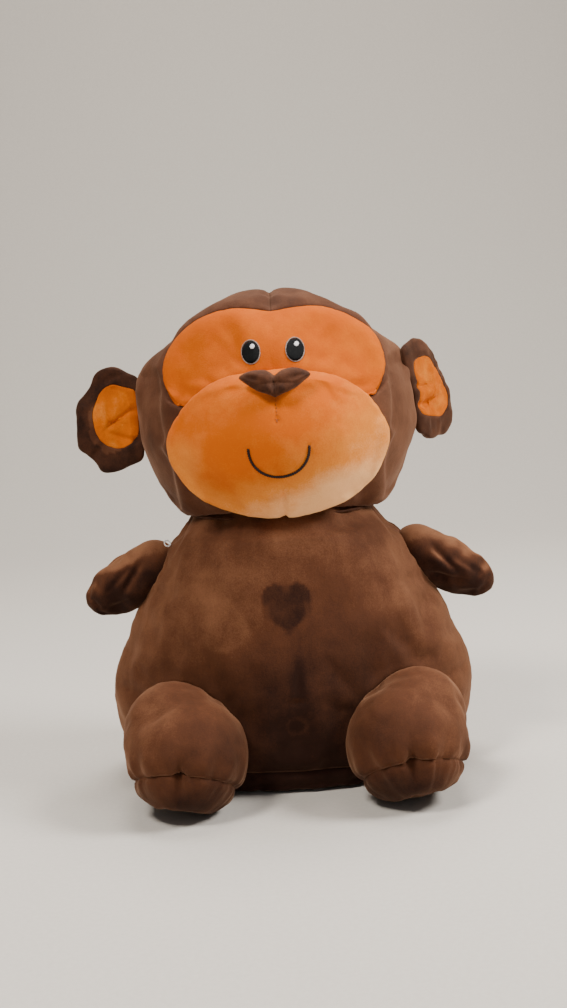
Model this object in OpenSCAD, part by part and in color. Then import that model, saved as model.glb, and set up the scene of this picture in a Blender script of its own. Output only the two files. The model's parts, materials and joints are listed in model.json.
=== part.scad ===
// Seated stuffed monkey: velvet panels over polyester fill, sewn limbs, folding ears.
// It sits on the XY plane, faces -Y, and +Z is up. Left and right are the monkey's own.

/* [Head] */
// Half width of the head
head_a = 116.5; // [108:0.5:120]
// Half depth of the head
head_b = 88; // [84:0.5:92]
// Height of the head's widest level
head_z = 288; // [284:1:292]
// Rise from the widest level to the crown
head_up = 110; // [104:1:114]
// Drop from the widest level to the closed chin
head_down = 107; // [104:1:110]
// How far the muzzle stands out from the face
muzzle_out = 36; // [28:1:42]

/* [Body] */
// Height of the centre that the neck and the shoulders curve round
neck_z = 120; // [118:1:122]
// Radius of the body's domed top
dome_r = 120.8; // [120:0.1:121]
// Width scale of the belly below the shoulders
belly_w = 1; // [0.97:0.01:1.02]
// Depth scale of the belly below the shoulders
belly_d = 1; // [0.97:0.01:1.02]

/* [Arms] */
// Length of an arm from the shoulder's centre to its tip
arm_len = 70; // [62:1:74]
// Droop of the arms below level, in degrees
arm_droop = 29; // [26:1:32]

/* [Legs] */
// Radius of the leg's round root, in the hip
leg_r = 46; // [45:0.5:47]
// Radius of the leg's round toe
toe_r = 48.6; // [47:0.1:48.8]
// How far the toe's centre lies in front of the hip's
toe_out = 36; // [30:1:40]

/* [Ears] */
// How far an ear stands out from the head
ear_out = 52; // [46:1:56]
// Half height of an ear
ear_half = 43; // [38:1:45]
// Height of the left ear's middle
left_ear_z = 309; // [300:1:312]
// Height of the right ear's middle
right_ear_z = 297; // [292:1:304]
// Backward fold of the left ear at rest, in degrees
left_ear_fold = 55; // [40:1:58]
// Backward fold of the right ear at rest, in degrees
right_ear_fold = 14; // [8:1:30]

/* [Fabric] */
// Thickness of the velvet with its pile
pile = 2; // [1.6:0.1:2.4]
// Radius of the embroidery thread
thread_r = 0.9; // [0.7:0.1:1.1]

/* [Hidden] */
velvet = "#6b4029";
dark_velvet = "#54301d";
orange = "#cf7433";
peach = "#dc9a5f";
ear_orange = "#cf6f12";
thread_brown = "#3a1d0f";
black_thread = "#141416";
white_thread = "#f2f2f2";
fill_white = "#f4f1ea";
tag_white = "#f8f8f8";

gap = 0.5;                    // play between a small cover and its fill
bag_gap = 2;                  // play between the body's or the head's cover and its fill
socket_play = 8;              // how much further the body's fill keeps off the sockets
neck_gap = 3;                 // room between the domed neck and the head's hollow
shoulder_room = 4.5;          // room between an arm's ball and its socket
hip_room = 7;                 // room between a leg's ball and its socket
seam_lift = 0.8;              // the seam thread's centre outside the ball it hugs
seam_r = 0.45;                // radius of a limb's seam thread
neck_c = [0, 0, neck_z];
head_c = [0, 0, head_z];
arm_r = 21;
arm_c = [110, -4, 177];
leg_c = [92, -84, 49];
ear_c = [119.5, 8];
jaw = 1.75;                   // fullness of the head below its widest level
ear_edge = 4;                 // radius of an ear's hinge edge
base_seam_z = 18;             // height of the seam round the base

// Levels of the body: height, half width, half depth.
BODY = [
    [0, 98, 70], [1.2, 112, 80], [8, 124, 87], [18, 133, 92], [32, 142, 97], [48, 147.5, 100],
    [65, 149.5, 101], [85, 147, 101], [106, 140, 99.5], [127, 131.5, 97], [148, 121.5, 94],
    [166, 113, 91], [181, 105, 88], [193, 97, 86], [201, 89.5, 84]
];

// The visible top of the orange face, from the crown's dip down to the muzzle's corner.
FACE_TOP = [[0, 382], [18, 384.5], [40, 384], [62, 376], [80, 362], [89, 345], [89, 328], [81, 315]];
muzzle_c = [0, 278];
muzzle_a = 79;
muzzle_up = 52;
muzzle_dn = 53;
muzzle_corner = 33;           // angle of the corner on the muzzle's own ellipse
muzzle_roll = 115;            // how far the muzzle's side rolls back under itself

eye_at = [17.2, 349.5];
eye_size = [6.8, 8.8];
nose_z = 325.5;
mouth_z = 278;
mouth_w = 23;
mouth_d = 23;

// ---- Small helpers -------------------------------------------------------------------

function lerp(a, b, t) = a + (b - a) * t;
function clamp01(x) = min(1, max(0, x));
function unit(v) = v / norm(v);
function flat_dir(a) = [cos(a), sin(a), 0];

// A smooth curve through the points P, at t from 0 to 1.
function spline(P, t) =
    let (n = len(P) - 1, s = clamp01(t) * n, i = min(floor(s), n - 1), u = s - i)
    let (a = P[max(i - 1, 0)], b = P[i], c = P[i + 1], d = P[min(i + 2, n)])
    0.5 * (2 * b + (c - a) * u + (2 * a - 5 * b + 4 * c - d) * u * u
        + (3 * b - a - 3 * c + d) * u * u * u);

// Distance along the ray o + t*d at which it enters the ball (c, r), or `far` if it misses.
function enter_ball(o, d, c, r, far) =
    let (m = o - c, b = m * d, q = b * b - (m * m - r * r))
    q > 0 && -b > 0 ? min(far, max(0, -b - sqrt(q))) : far;

// Faces of a grid with nu x nv cells whose points start at index s. The rows v = 0 and
// v = nv may each be one point, and the columns may join up.
function at(s, i, j, nu, nv, p0, p1, wrap) =
    s + (p0 && j == 0 ? 0 : p1 && j == nv ? nv : (wrap && i == nu ? 0 : i) * (nv + 1) + j);
function split(a, b, c, d) = [[a, b, c], [a, c, d]];
function real_face(f) = f[0] != f[1] && f[1] != f[2] && f[2] != f[0];
function skin(s, nu, nv, p0, p1, wrap, out) = [
    for (i = [0:nu - 1]) for (j = [0:nv - 1])
        let (
            a = at(s, i, j, nu, nv, p0, p1, wrap), b = at(s, i + 1, j, nu, nv, p0, p1, wrap),
            c = at(s, i + 1, j + 1, nu, nv, p0, p1, wrap), d = at(s, i, j + 1, nu, nv, p0, p1, wrap)
        )
        for (f = out ? split(a, b, c, d) : split(d, c, b, a)) if (real_face(f)) f
];
function join_edge(ps, qs) = [
    for (k = [0:len(ps) - 2])
        for (f = split(ps[k], qs[k], qs[k + 1], ps[k + 1])) if (real_face(f)) f
];
function points(f, nu, nv, u, v) = [
    for (i = [0:nu]) for (j = [0:nv]) f(lerp(u[0], u[1], i / nu), lerp(v[0], v[1], j / nv))
];

// A closed lump: f(u, v) gives its surface, with a pole at each end of v.
module lump(f, nu, nv, u = [0, 360], v = [0, 1], flip = false) {
    polyhedron(points(f, nu, nv, u, v), skin(0, nu, nv, true, true, true, !flip), convexity = 6);
}

// A cloth panel between the surfaces f (outside) and g (inside) over a patch of u and v.
module cloth(f, g, nu, nv, u, v, p0 = false, p1 = false, wrap = false, flip = false) {
    n = (nu + 1) * (nv + 1);
    function edge(s, which) =
        which == 0 ? [for (j = [0:nv]) at(s, 0, j, nu, nv, p0, p1, wrap)] :
        which == 1 ? [for (j = [0:nv]) at(s, nu, j, nu, nv, p0, p1, wrap)] :
        which == 2 ? [for (i = [0:nu]) at(s, i, 0, nu, nv, p0, p1, wrap)] :
        [for (i = [0:nu]) at(s, i, nv, nu, nv, p0, p1, wrap)];
    function rim(which, turn) = turn ? join_edge(edge(0, which), edge(n, which))
        : join_edge(edge(n, which), edge(0, which));
    polyhedron(
        concat(points(f, nu, nv, u, v), points(g, nu, nv, u, v)),
        concat(
            skin(0, nu, nv, p0, p1, wrap, !flip),
            skin(n, nu, nv, p0, p1, wrap, flip),
            wrap ? [] : rim(0, flip),
            wrap ? [] : rim(1, !flip),
            p0 ? [] : rim(2, !flip),
            p1 ? [] : rim(3, flip)
        ),
        convexity = 8
    );
}

// A thread along the points P, with a round cross-section.
module thread(P, r, sides = 8) {
    n = len(P);
    function along(i) = unit(P[min(i + 1, n - 1)] - P[max(i - 1, 0)]);
    function ring(i) =
        let (t = along(i), s = unit(cross(t, [0, -1, 0.01])), w = cross(t, s))
        [for (k = [0:sides - 1]) P[i] + r * (cos(360 * k / sides) * s + sin(360 * k / sides) * w)];
    pts = [for (i = [0:n - 1]) for (p = ring(i)) p];
    walls = [
        for (i = [0:n - 2]) for (k = [0:sides - 1])
            let (m = (k + 1) % sides, a = i * sides, b = a + sides)
            for (f = split(a + m, a + k, b + k, b + m)) f
    ];
    first = [for (k = [0:sides - 1]) k];
    last = [for (k = [sides - 1:-1:0]) (n - 1) * sides + k];
    polyhedron(pts, concat(walls, [last], [first]), convexity = 6);
}

module pair(side) {
    if (side > 0) children();
    else mirror([1, 0, 0]) children();
}

// ---- Body ----------------------------------------------------------------------------

// The limbs' sockets on either side, seen as balls that the body makes room for. Each arm
// has a second ball further out, where the arm leaves the body.
arm_lip = 15;
leg_lift = 20;                // how far a leg can lift, in degrees
toe_way = [-8, -toe_out, 0];  // from the hip's centre to the toe's
SOCKETS = [
    for (s = [-1, 1]) for (k = [0, arm_lip])
        [[s * (arm_c[0] + k * cos(arm_droop)), arm_c[1], arm_c[2] - k * sin(arm_droop)],
            arm_r + shoulder_room],
    for (s = [-1, 1]) for (k = [0, 0.5, 1]) leg_socket(s, k, 0),
    for (s = [-1, 1]) leg_socket(s, 1, leg_lift)
];

// The room for a leg lifted by `up` degrees, at the share k of the way to its toe.
function leg_socket(s, k, up) =
    let (c = leg_c + k * [toe_way[0], toe_way[1] * cos(up), -toe_way[1] * sin(up)])
    [[s * c[0], c[1], c[2]], lerp(leg_r, toe_r, k) + hip_room];
function dome_top() = neck_z + dome_r;
function body_half(z) =
    let (k = len(BODY) - 1)
    let (i = max([for (j = [0:k - 1]) if (z >= BODY[j][0]) j]))
    let (t = (z - BODY[i][0]) / (BODY[i + 1][0] - BODY[i][0]))
    let (p = BODY[max(i - 1, 0)], a = BODY[i], b = BODY[i + 1], q = BODY[min(i + 2, k)])
    let (swell = z > 20 ? 0.12 * t * (1 - t) : 0)
    [for (c = [1, 2]) lerp(a[c], b[c], t) + swell * (a[c] + b[c] - p[c] - q[c])];

// Half width and half depth at a height, with cloth of thickness d taken off.
function body_level(z, d) =
    z > BODY[len(BODY) - 1][0]
        ? let (r = sqrt(max(0, pow(dome_r - d, 2) - pow(z - neck_z, 2))))
            [r, r * lerp(0.95, 1, clamp01((z - 201) / 25))]
        : let (h = body_half(max(z, 0))) [h[0] * belly_w - d, h[1] * belly_d - d];
function body_point(a, z, d, room = 0) =
    let (h = body_level(z, d), e = flat_dir(a))
    let (r = h[0] < 0.01 ? 0 : 1 / sqrt(pow(e[0] / h[0], 2) + pow(e[1] / h[1], 2)))
    let (o = [0, 0, z])
    let (t = min([for (s = SOCKETS) enter_ball(o, e, s[0], s[1] + d + room, r)]))
    o + t * e;
function body_z(v, d) =
    let (low = base_seam_z, mid = BODY[len(BODY) - 1][0])
    v < 0.68 ? lerp(low, mid, v / 0.68)
    : neck_z + (dome_r - d) * sin(lerp(asin((mid - neck_z) / (dome_r - d)), 90, (v - 0.68) / 0.32));
function body_out(d) = function (a, v) body_point(a, body_z(v, d), d);

module body_cloth(from, to, columns) {
    cloth(body_out(0), body_out(pile), columns, 20, [from, to], [0, 1], p1 = true, flip = true);
}
module belly_panel() {
    color(velvet) body_cloth(180, 360, 32);
}
module left_back_panel() {
    color(velvet) body_cloth(0, 90, 10);
}
module right_back_panel() {
    color(velvet) body_cloth(90, 180, 10);
}

// The base: a shallow tray from the middle of the flat bottom up to its seam.
function base_point(a, v, d) =
    let (flat = 0.45)
    v < flat
        ? let (e = flat_dir(a), k = v / flat)
            let (r = k / sqrt(pow(e[0] / (BODY[0][1] - d), 2) + pow(e[1] / (BODY[0][2] - d), 2)))
            [r * e[0], r * e[1], d]
        : let (z = lerp(d, base_seam_z, pow((v - flat) / (1 - flat), 1.6)))
            body_point(a, z, d);
module base_panel() {
    color(dark_velvet)
    cloth(
        function (a, v) base_point(a, v, 0), function (a, v) base_point(a, v, pile),
        40, 7, [0, 360], [0, 1], p0 = true, wrap = true, flip = true
    );
}
module body_stuffing() {
    d = pile + bag_gap;
    columns = 40;
    rows = 16;
    first = 0.5 / rows;
    f = function (a, v)
        v < first ? [0, 0, d]
        : v > 1 - first ? [0, 0, dome_top() - d]
        : v < 0.25 ? body_point(a, lerp(d, base_seam_z, (v - 1 / rows) * 5.3), d + 1, socket_play)
        : body_point(a, body_z((v - 0.25) / 0.75, d), d, socket_play);
    color(fill_white) lump(f, columns, rows, flip = true);
}

// A short row of ladder stitches over the back seam where the fill went in.
module closing_stitches() {
    count = 7;
    color(thread_brown)
    for (k = [0:count - 1]) {
        z = lerp(66, 118, k / (count - 1));
        y = body_point(90, z, 0)[1] + 0.7;
        translate([-4, y, z]) rotate([0, 90, 0]) cylinder(h = 8, r = 0.5, $fn = 16);
    }
}

// A blank folded ribbon in the seam at the back of the base.
module care_label() {
    y = body_point(60, base_seam_z + 4, 0)[1];
    x = body_point(60, base_seam_z + 4, 0)[0];
    color(tag_white)
    translate([x, y + 0.3, base_seam_z + 2]) rotate([0, 0, -20]) {
        translate([-7, 0, 0]) cube([14, 16, 0.4]);
        translate([-7, 0, 0.9]) cube([14, 16, 0.4]);
        translate([-7, 15.6, 0]) cube([14, 0.4, 1.3]);
    }
}

// The clear plastic fastener loop left in the seam at the right shoulder.
module tag_loop() {
    color(tag_white)
    translate([-96.5, -20.4, 196.5]) rotate([62, 0, 30]) {
        rotate_extrude($fn = 32) translate([2.6, 0]) circle(r = 0.6, $fn = 16);
    }
}

// ---- Head ----------------------------------------------------------------------------

// Distance from the head's centre to its surface, less d, kept clear of the neck's dome.
function head_reach(e, d, room = 0) =
    let (up = e[2] > 0, n = up ? 2 : jaw, c = (up ? head_up : head_down) - d)
    let (flat = sqrt(pow(e[0] / (head_a - d), 2) + pow(e[1] / (head_b - d), 2)))
    let (far = pow(pow(flat, n) + pow(abs(e[2]) / c, n), -1 / n))
    enter_ball(head_c, e, neck_c, dome_r + neck_gap + d + room, far);

// The front of the head, less d, at the place p = [x, z].
function face_y(p, d) =
    let (dz = p[1] - head_z, up = dz > 0, n = up ? 2 : jaw, c = (up ? head_up : head_down) - d)
    let (k = pow(max(0, 1 - pow(abs(dz) / c, n)), 2 / n) - pow(p[0] / (head_a - d), 2))
    -(head_b - d) * sqrt(max(0, k));
function on_face(p) = [p[0], face_y(p, 0), p[1]];
// The same place, d under the surface, towards the head's centre.
function under_face(p, d) = let (e = unit(on_face(p) - head_c)) head_c + head_reach(e, d) * e;

function muzzle_edge(a) =
    muzzle_c + [muzzle_a * cos(a), (sin(a) > 0 ? muzzle_up : muzzle_dn) * sin(a)];
corner_p = muzzle_edge(muzzle_corner);
TOP = concat(FACE_TOP, [corner_p]);
face_columns = 22;            // steps along half of the face's outline
mask_columns = 12;            // of which run along the mask's top
face_share = mask_columns / face_columns;

// The face's outline for x > 0, from the crown's dip (t = 0) to the chin (t = 1).
function face_edge(t) =
    t < face_share ? spline(TOP, t / face_share)
    : muzzle_edge(lerp(muzzle_corner, -90, (t - face_share) / (1 - face_share)));

// A head panel runs from the face's outline round to the back of the head.
function head_panel(d) = function (t, v)
    let (p = on_face(face_edge(t)) - head_c)
    let (from = acos(-p[1] / norm(p)), turn = lerp(from, 180, v))
    let (side = norm([p[0], p[2]]), e = [p[0] / side * sin(turn), -cos(turn), p[2] / side * sin(turn)])
    head_c + head_reach(e, d) * e;
module head_half() {
    color(velvet)
    cloth(head_panel(0), head_panel(pile), face_columns, 13, [0, 1], [0, 1], p1 = true, flip = true);
}
module left_head_panel() {
    head_half();
}
module right_head_panel() {
    mirror([1, 0, 0]) head_half();
}

// The face mask fills the space between the top outline and the muzzle's upper edge.
function mask_top(s) =
    let (p = spline(TOP, abs(s))) [sign(s) * p[0], p[1]];
function mask_low(s) = muzzle_edge(90 - s * (90 - muzzle_corner));
function mask(d) = function (u, v) under_face(lerp(mask_low(v), mask_top(v), u), d);
module face_mask() {
    color(orange) cloth(mask(0), mask(pile), 6, 2 * mask_columns, [0, 1], [-1, 1], p0 = true, p1 = true);
}

// The muzzle: a puffed oval that rolls back under itself to its seam in the face.
seam_play = 0.994;            // the muzzle's seam lies just inside the edge that it's sewn to
function muzzle_drop(turn) = (cos(turn) - cos(muzzle_roll)) / (1 - cos(muzzle_roll));
function muzzle_point(a, v, d) =
    let (turn = muzzle_roll * v, k = sin(turn) / sin(muzzle_roll), arm = muzzle_edge(a) - muzzle_c)
    let (seat = muzzle_c + arm * min(k, 1) * seam_play, p = muzzle_c + arm * k * seam_play * (1 - d / 80))
    v == 1 && d > 0 ? under_face(seat, d)
    : [p[0], face_y(seat, 0) - (muzzle_out - d) * muzzle_drop(turn), p[1]];
module muzzle_cover() {
    color(peach)
    cloth(
        function (a, v) muzzle_point(a, v, 0), function (a, v) muzzle_point(a, v, pile),
        32, 9, [0, 360], [0, 1], p0 = true, wrap = true
    );
}
module muzzle_stuffing() {
    d = pile + gap;
    f = function (a, v) v > 0.93 ? [0, face_y(muzzle_c, 0) - 1, muzzle_c[1]]
        : muzzle_point(a, v * 0.9, d + 0.4);
    color(fill_white) lump(f, 24, 10);
}
module head_stuffing() {
    d = pile + bag_gap + 1;
    f = function (a, v)
        let (t = 180 * v, e = [cos(a) * sin(t), -cos(t), sin(a) * sin(t)])
        head_c + head_reach(e, d, socket_play) * e;
    color(fill_white) lump(f, 36, 18);
}

// Front of the muzzle, or of the mask where the muzzle doesn't reach, at p = [x, z].
function front_y(p) =
    let (m = p - muzzle_c, c = m[1] > 0 ? muzzle_up : muzzle_dn)
    let (q = norm([m[0] / muzzle_a, m[1] / c]) * sin(muzzle_roll))
    q < 1
        ? let (turn = asin(q), seat = muzzle_c + m * min(1, sin(muzzle_roll) / max(q, 0.001)))
            min(face_y(p, 0), face_y(seat, 0) - muzzle_out * muzzle_drop(turn))
        : face_y(p, 0);

// The nose: a small padded heart with a notch on top and its tip below.
NOSE = [[0, 9], [9, 10.5], [19, 8.5], [26, 4.5], [24, -1], [14, -6], [0, -11.5]];
function nose_edge(a) =
    let (t = a < 180 ? a / 180 : (360 - a) / 180, p = spline(NOSE, t)) [a < 180 ? p[0] : -p[0], p[1]];
// The nose sits on the muzzle's brow, and stands on above it at the same depth.
nose_brow = 0.93;
function brow_y(p) =
    let (m = p - muzzle_c, q = norm([m[0] / muzzle_a, m[1] / muzzle_up]))
    front_y(muzzle_c + m * min(1, nose_brow / q));
function nose_at(a, v, lift, shrink) =
    let (e = nose_edge(a), k = max(0, 1 - shrink / max(norm(e), 1)))
    let (p = [0, nose_z] + e * v * k)
    [p[0], brow_y(p) - lift, p[1]];
nose_seat = 0.9;
nose_out = 10;
function nose_swell(v) = sqrt(max(0, 1 - v * v));
module nose_cover() {
    color(dark_velvet)
    cloth(
        function (a, v) nose_at(a, v, nose_seat + 1 + nose_out * nose_swell(v), 0),
        function (a, v) nose_at(a, v, nose_seat + (nose_out - 1) * nose_swell(v), 1.6),
        28, 6, [0, 360], [0, 1], p0 = true, wrap = true, flip = true
    );
}
module nose_stuffing() {
    f = function (a, v) v < 0.5 ? nose_at(a, 2 * v, nose_seat + (nose_out - 1.3) * nose_swell(2 * v), 2.2)
        : nose_at(a, 2 - 2 * v, nose_seat, 2.2);
    color(fill_white) lump(f, 20, 8, flip = true);
}

// A flat satin-stitched oval, raised a little in its middle.
module stitched_oval(at, size, low, high) {
    f = function (a, v)
        let (w = v < 0.5 ? 2 * v : 2 - 2 * v, p = at + w * [size[0] * cos(a), size[1] * sin(a)])
        [p[0], face_y(p, 0) - (v < 0.5 ? low + (high - low) * (1.05 - w * w) : low), p[1]];
    lump(f, 20, 6, flip = false);
}
module eye(side) {
    color(black_thread) pair(side) stitched_oval(eye_at, eye_size, 0.15, 1.15);
}
module glint(side) {
    color(white_thread) stitched_oval([side * eye_at[0] + 1, eye_at[1] + 4.3], [1.6, 1.8], 1.3, 1.8);
}
module left_eye() {
    eye(1);
}
module right_eye() {
    eye(-1);
}
module left_eye_glint() {
    glint(1);
}
module right_eye_glint() {
    glint(-1);
}
module mouth_stitch() {
    steps = 20;
    color(thread_brown)
    thread([
        for (k = [0:steps])
            let (a = 180 * k / steps, p = [mouth_w * -cos(a), mouth_z - mouth_d * pow(sin(a), 0.9)])
            [p[0], front_y(p) - thread_r - 0.15, p[1]]
    ], thread_r);
}
module philtrum_stitch() {
    steps = 8;
    color(thread_brown)
    thread([
        for (k = [0:steps])
            let (p = [0, lerp(312, 298, k / steps)]) [0, front_y(p) - 0.75, p[1]]
    ], 0.6);
}

// The seam thread round the neck follows the head's lower edge on a ball about the neck.
module neck_seam() {
    columns = 48;
    r = dome_r + neck_gap * 0.3;
    function lift(a) = lerp(51, 57, pow(sin(a), 2));
    f = function (a, v)
        let (e = lift(a), c = r * [cos(e) * cos(a), cos(e) * sin(a), sin(e)])
        let (n = unit(c), s = [-cos(a) * sin(e), -sin(a) * sin(e), cos(e)])
        neck_c + c + 0.6 * (cos(v) * n + sin(v) * s);
    color(thread_brown)
    polyhedron(
        [for (i = [0:columns - 1]) for (k = [0:5]) f(360 * i / columns, 60 * k)],
        [
            for (i = [0:columns - 1]) for (k = [0:5])
                let (a = i * 6, b = ((i + 1) % columns) * 6, m = (k + 1) % 6)
                for (t = split(a + m, b + m, b + k, a + k)) t
        ],
        convexity = 6
    );
}

// ---- Ears ----------------------------------------------------------------------------

// An ear lies in the plane of its own u (outward) and z. Its outline is round on the
// outside and squarer at the root, where it's sewn to the head.
ear_mid = 17;                 // from the root to the level of the ear's greatest height
ear_thick = 6;                // half thickness of the ear's middle
function boxed(x, n) = sign(x) * pow(abs(x), 2 / n);
function ear_rim(a, d) =
    let (out = cos(a) > 0, n = out ? 2 : 3.6, half = out ? ear_out - ear_mid : ear_mid)
    [ear_mid + (half - d) * boxed(cos(a), n), (ear_half - d) * boxed(sin(a), n)];
function ear_half_thick(v, d) = (ear_thick - d) * sqrt(max(0, 1 - pow(v, 2.6)));
module ear_frame(side) {
    fold = side > 0 ? left_ear_fold : right_ear_fold;
    z = side > 0 ? left_ear_z : right_ear_z;
    pair(side) translate([ear_c[0], ear_c[1], z])
    rotate([0, 0, fold]) translate([ear_edge, 0, 0]) children();
}
function ear_skin(face, d) = function (a, v)
    let (p = lerp([ear_mid, 0], ear_rim(a, d), v))
    [p[0], face * ear_half_thick(v, d), p[1]];
// The front of the ear is a ring of velvet round the orange patch.
patch_share = 0.62;
module ear_sheet(face, from, to) {
    f = function (d) function (a, v) ear_skin(face, d)(a, lerp(from, to, v));
    cloth(f(0), f(1.4), 24, 3, [0, 360], [0, 1], p0 = from == 0, wrap = true, flip = face > 0);
}
module ear_back(side) {
    color(velvet) ear_frame(side) ear_sheet(1, 0, 1);
}
module ear_rim_cloth(side) {
    color(velvet) ear_frame(side) ear_sheet(-1, patch_share, 1);
}
module ear_patch(side) {
    color(ear_orange) ear_frame(side) ear_sheet(-1, 0, patch_share);
}
module ear_wadding(side) {
    d = 3.2;
    f = function (a, v) v < 0.5 ? ear_skin(-1, d)(a, 1.9 * v) : ear_skin(1, d)(a, 1.9 * (1 - v));
    color(fill_white) ear_frame(side) lump(f, 24, 6, flip = false);
}
module left_ear_back() {
    ear_back(1);
}
module left_ear_rim() {
    ear_rim_cloth(1);
}
module left_ear_patch() {
    ear_patch(1);
}
module left_ear_wadding() {
    ear_wadding(1);
}
module right_ear_back() {
    ear_back(-1);
}
module right_ear_rim() {
    ear_rim_cloth(-1);
}
module right_ear_patch() {
    ear_patch(-1);
}
module right_ear_wadding() {
    ear_wadding(-1);
}

// ---- Arms ----------------------------------------------------------------------------

// An arm lies along its own x, from the round root to the paw. Its z is up, its y back.
function arm_station(v, d) = lerp(-(arm_r - d), arm_len - d, (1 - cos(180 * v)) / 2);
function arm_wide(x, d) =
    x < 0 ? sqrt(max(0, pow(arm_r - d, 2) - x * x))
    : let (t = x / (arm_len - d)) (arm_r - d) * pow(max(0, 1 - pow(t, 3.4)), 0.5);
function arm_thick(x, d) =
    x < 0 ? sqrt(max(0, pow(arm_r - d, 2) - x * x))
    : let (t = x / (arm_len - d)) (arm_r - d) * pow(max(0, 1 - pow(t, 3.4)), 0.5) * lerp(1, 0.72, t);
function arm_skin(d) = function (a, v)
    let (x = arm_station(v, d)) [x, arm_thick(x, d) * sin(a), arm_wide(x, d) * cos(a)];
module arm_frame(side) {
    pair(side) translate(arm_c) rotate([0, arm_droop, 0]) children();
}
module arm_sheet(side, from) {
    color(velvet) arm_frame(side)
    cloth(arm_skin(0), arm_skin(pile), 10, 12, [from, from + 180], [0, 1], p0 = true, p1 = true);
}
module arm_fill(side) {
    color(fill_white) arm_frame(side) lump(arm_skin(pile + 2 * gap), 16, 10);
}
module left_arm_front() {
    arm_sheet(1, 180);
}
module left_arm_back() {
    arm_sheet(1, 0);
}
module left_arm_stuffing() {
    arm_fill(1);
}
module right_arm_front() {
    arm_sheet(-1, 180);
}
module right_arm_back() {
    arm_sheet(-1, 0);
}
module right_arm_stuffing() {
    arm_fill(-1);
}

// The thread that sews a limb's closed root on is a ring on the ball that the limb turns
// about. It lies `lift` degrees from the ball's equator, on the side that e points to.
module seam_ring(centre, ball, e, lift) {
    r = ball + seam_lift;
    translate(centre) rotate([0, acos(e[2]), atan2(e[1], e[0])])
    translate([0, 0, r * sin(lift)]) rotate_extrude($fn = 64)
    translate([r * cos(lift), 0]) circle(r = seam_r, $fn = 16);
}
module shoulder_seam(side) {
    color(thread_brown) pair(side) seam_ring(arm_c, arm_r, [-1, 0, 0], 48);
}
module left_shoulder_seam() {
    shoulder_seam(1);
}
module right_shoulder_seam() {
    shoulder_seam(-1);
}

// ---- Legs ----------------------------------------------------------------------------

// The leg is a ball in the hip and a ball at the toe, with the cloth drawn straight between.
function ball_exit(e, c, r) = let (b = e * c, q = b * b - c * c + r * r) q > 0 ? b + sqrt(q) : 0;
function leg_reach(e, d) =
    max([for (t = [0:0.125:1]) ball_exit(e, t * toe_way, lerp(leg_r, toe_r, t) - d)]);
// Directions round the leg are measured from the sole's middle, which looks forward and down.
leg_tilt = 46;
sole_share = 0.225;           // part of the way from the sole's middle to the far side
function tilted(e) =
    let (c = cos(leg_tilt), s = sin(leg_tilt)) [e[0], c * e[1] + s * e[2], -s * e[1] + c * e[2]];
function leg_skin(d) = function (a, v)
    let (t = 180 * v, e = tilted([cos(a) * sin(t), sin(a) * sin(t), -cos(t)]))
    leg_c + leg_reach(e, d) * e;
module leg_sheet(side, from, to, rows) {
    pair(side)
    cloth(
        leg_skin(0), leg_skin(pile), 24, rows, [0, 360], [from, to],
        p0 = from == 0, p1 = to == 1, wrap = true, flip = true
    );
}
module leg_cover(side) {
    color(velvet) leg_sheet(side, sole_share, 1, 9);
}
module sole_panel(side) {
    color(dark_velvet) leg_sheet(side, 0, sole_share, 4);
}
module leg_fill(side) {
    color(fill_white) pair(side) lump(leg_skin(pile + bag_gap), 20, 12, flip = true);
}
module left_leg_cover() {
    leg_cover(1);
}
module left_sole_panel() {
    sole_panel(1);
}
module left_leg_stuffing() {
    leg_fill(1);
}
module right_leg_cover() {
    leg_cover(-1);
}
module right_sole_panel() {
    sole_panel(-1);
}
module right_leg_stuffing() {
    leg_fill(-1);
}
module hip_seam(side) {
    color(thread_brown) pair(side) seam_ring(leg_c, leg_r, unit([-0.6, 0.75, 0.2]), 60);
}
module left_hip_seam() {
    hip_seam(1);
}
module right_hip_seam() {
    hip_seam(-1);
}

// ---- Assembly ------------------------------------------------------------------------

belly_panel();
left_back_panel();
right_back_panel();
base_panel();
body_stuffing();
closing_stitches();
care_label();
tag_loop();
neck_seam();
left_head_panel();
right_head_panel();
face_mask();
muzzle_cover();
muzzle_stuffing();
head_stuffing();
nose_cover();
nose_stuffing();
left_eye();
right_eye();
left_eye_glint();
right_eye_glint();
mouth_stitch();
philtrum_stitch();
left_ear_back();
left_ear_rim();
left_ear_patch();
left_ear_wadding();
right_ear_back();
right_ear_rim();
right_ear_patch();
right_ear_wadding();
left_arm_front();
left_arm_back();
left_arm_stuffing();
left_shoulder_seam();
right_arm_front();
right_arm_back();
right_arm_stuffing();
right_shoulder_seam();
left_leg_cover();
left_sole_panel();
left_leg_stuffing();
left_hip_seam();
right_leg_cover();
right_sole_panel();
right_leg_stuffing();
right_hip_seam();
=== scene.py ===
"""Looks of a seated stuffed monkey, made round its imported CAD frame.

The shapes are worked out in millimetres, as the CAD source does, and the mesh builder turns
them into metres. The monkey faces -Y and +Z is up. Left and right are the monkey's own.
"""
import json
import math

import bmesh
import bpy
import numpy as np
from mathutils import Matrix, Vector
from mathutils.kdtree import KDTree

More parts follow.
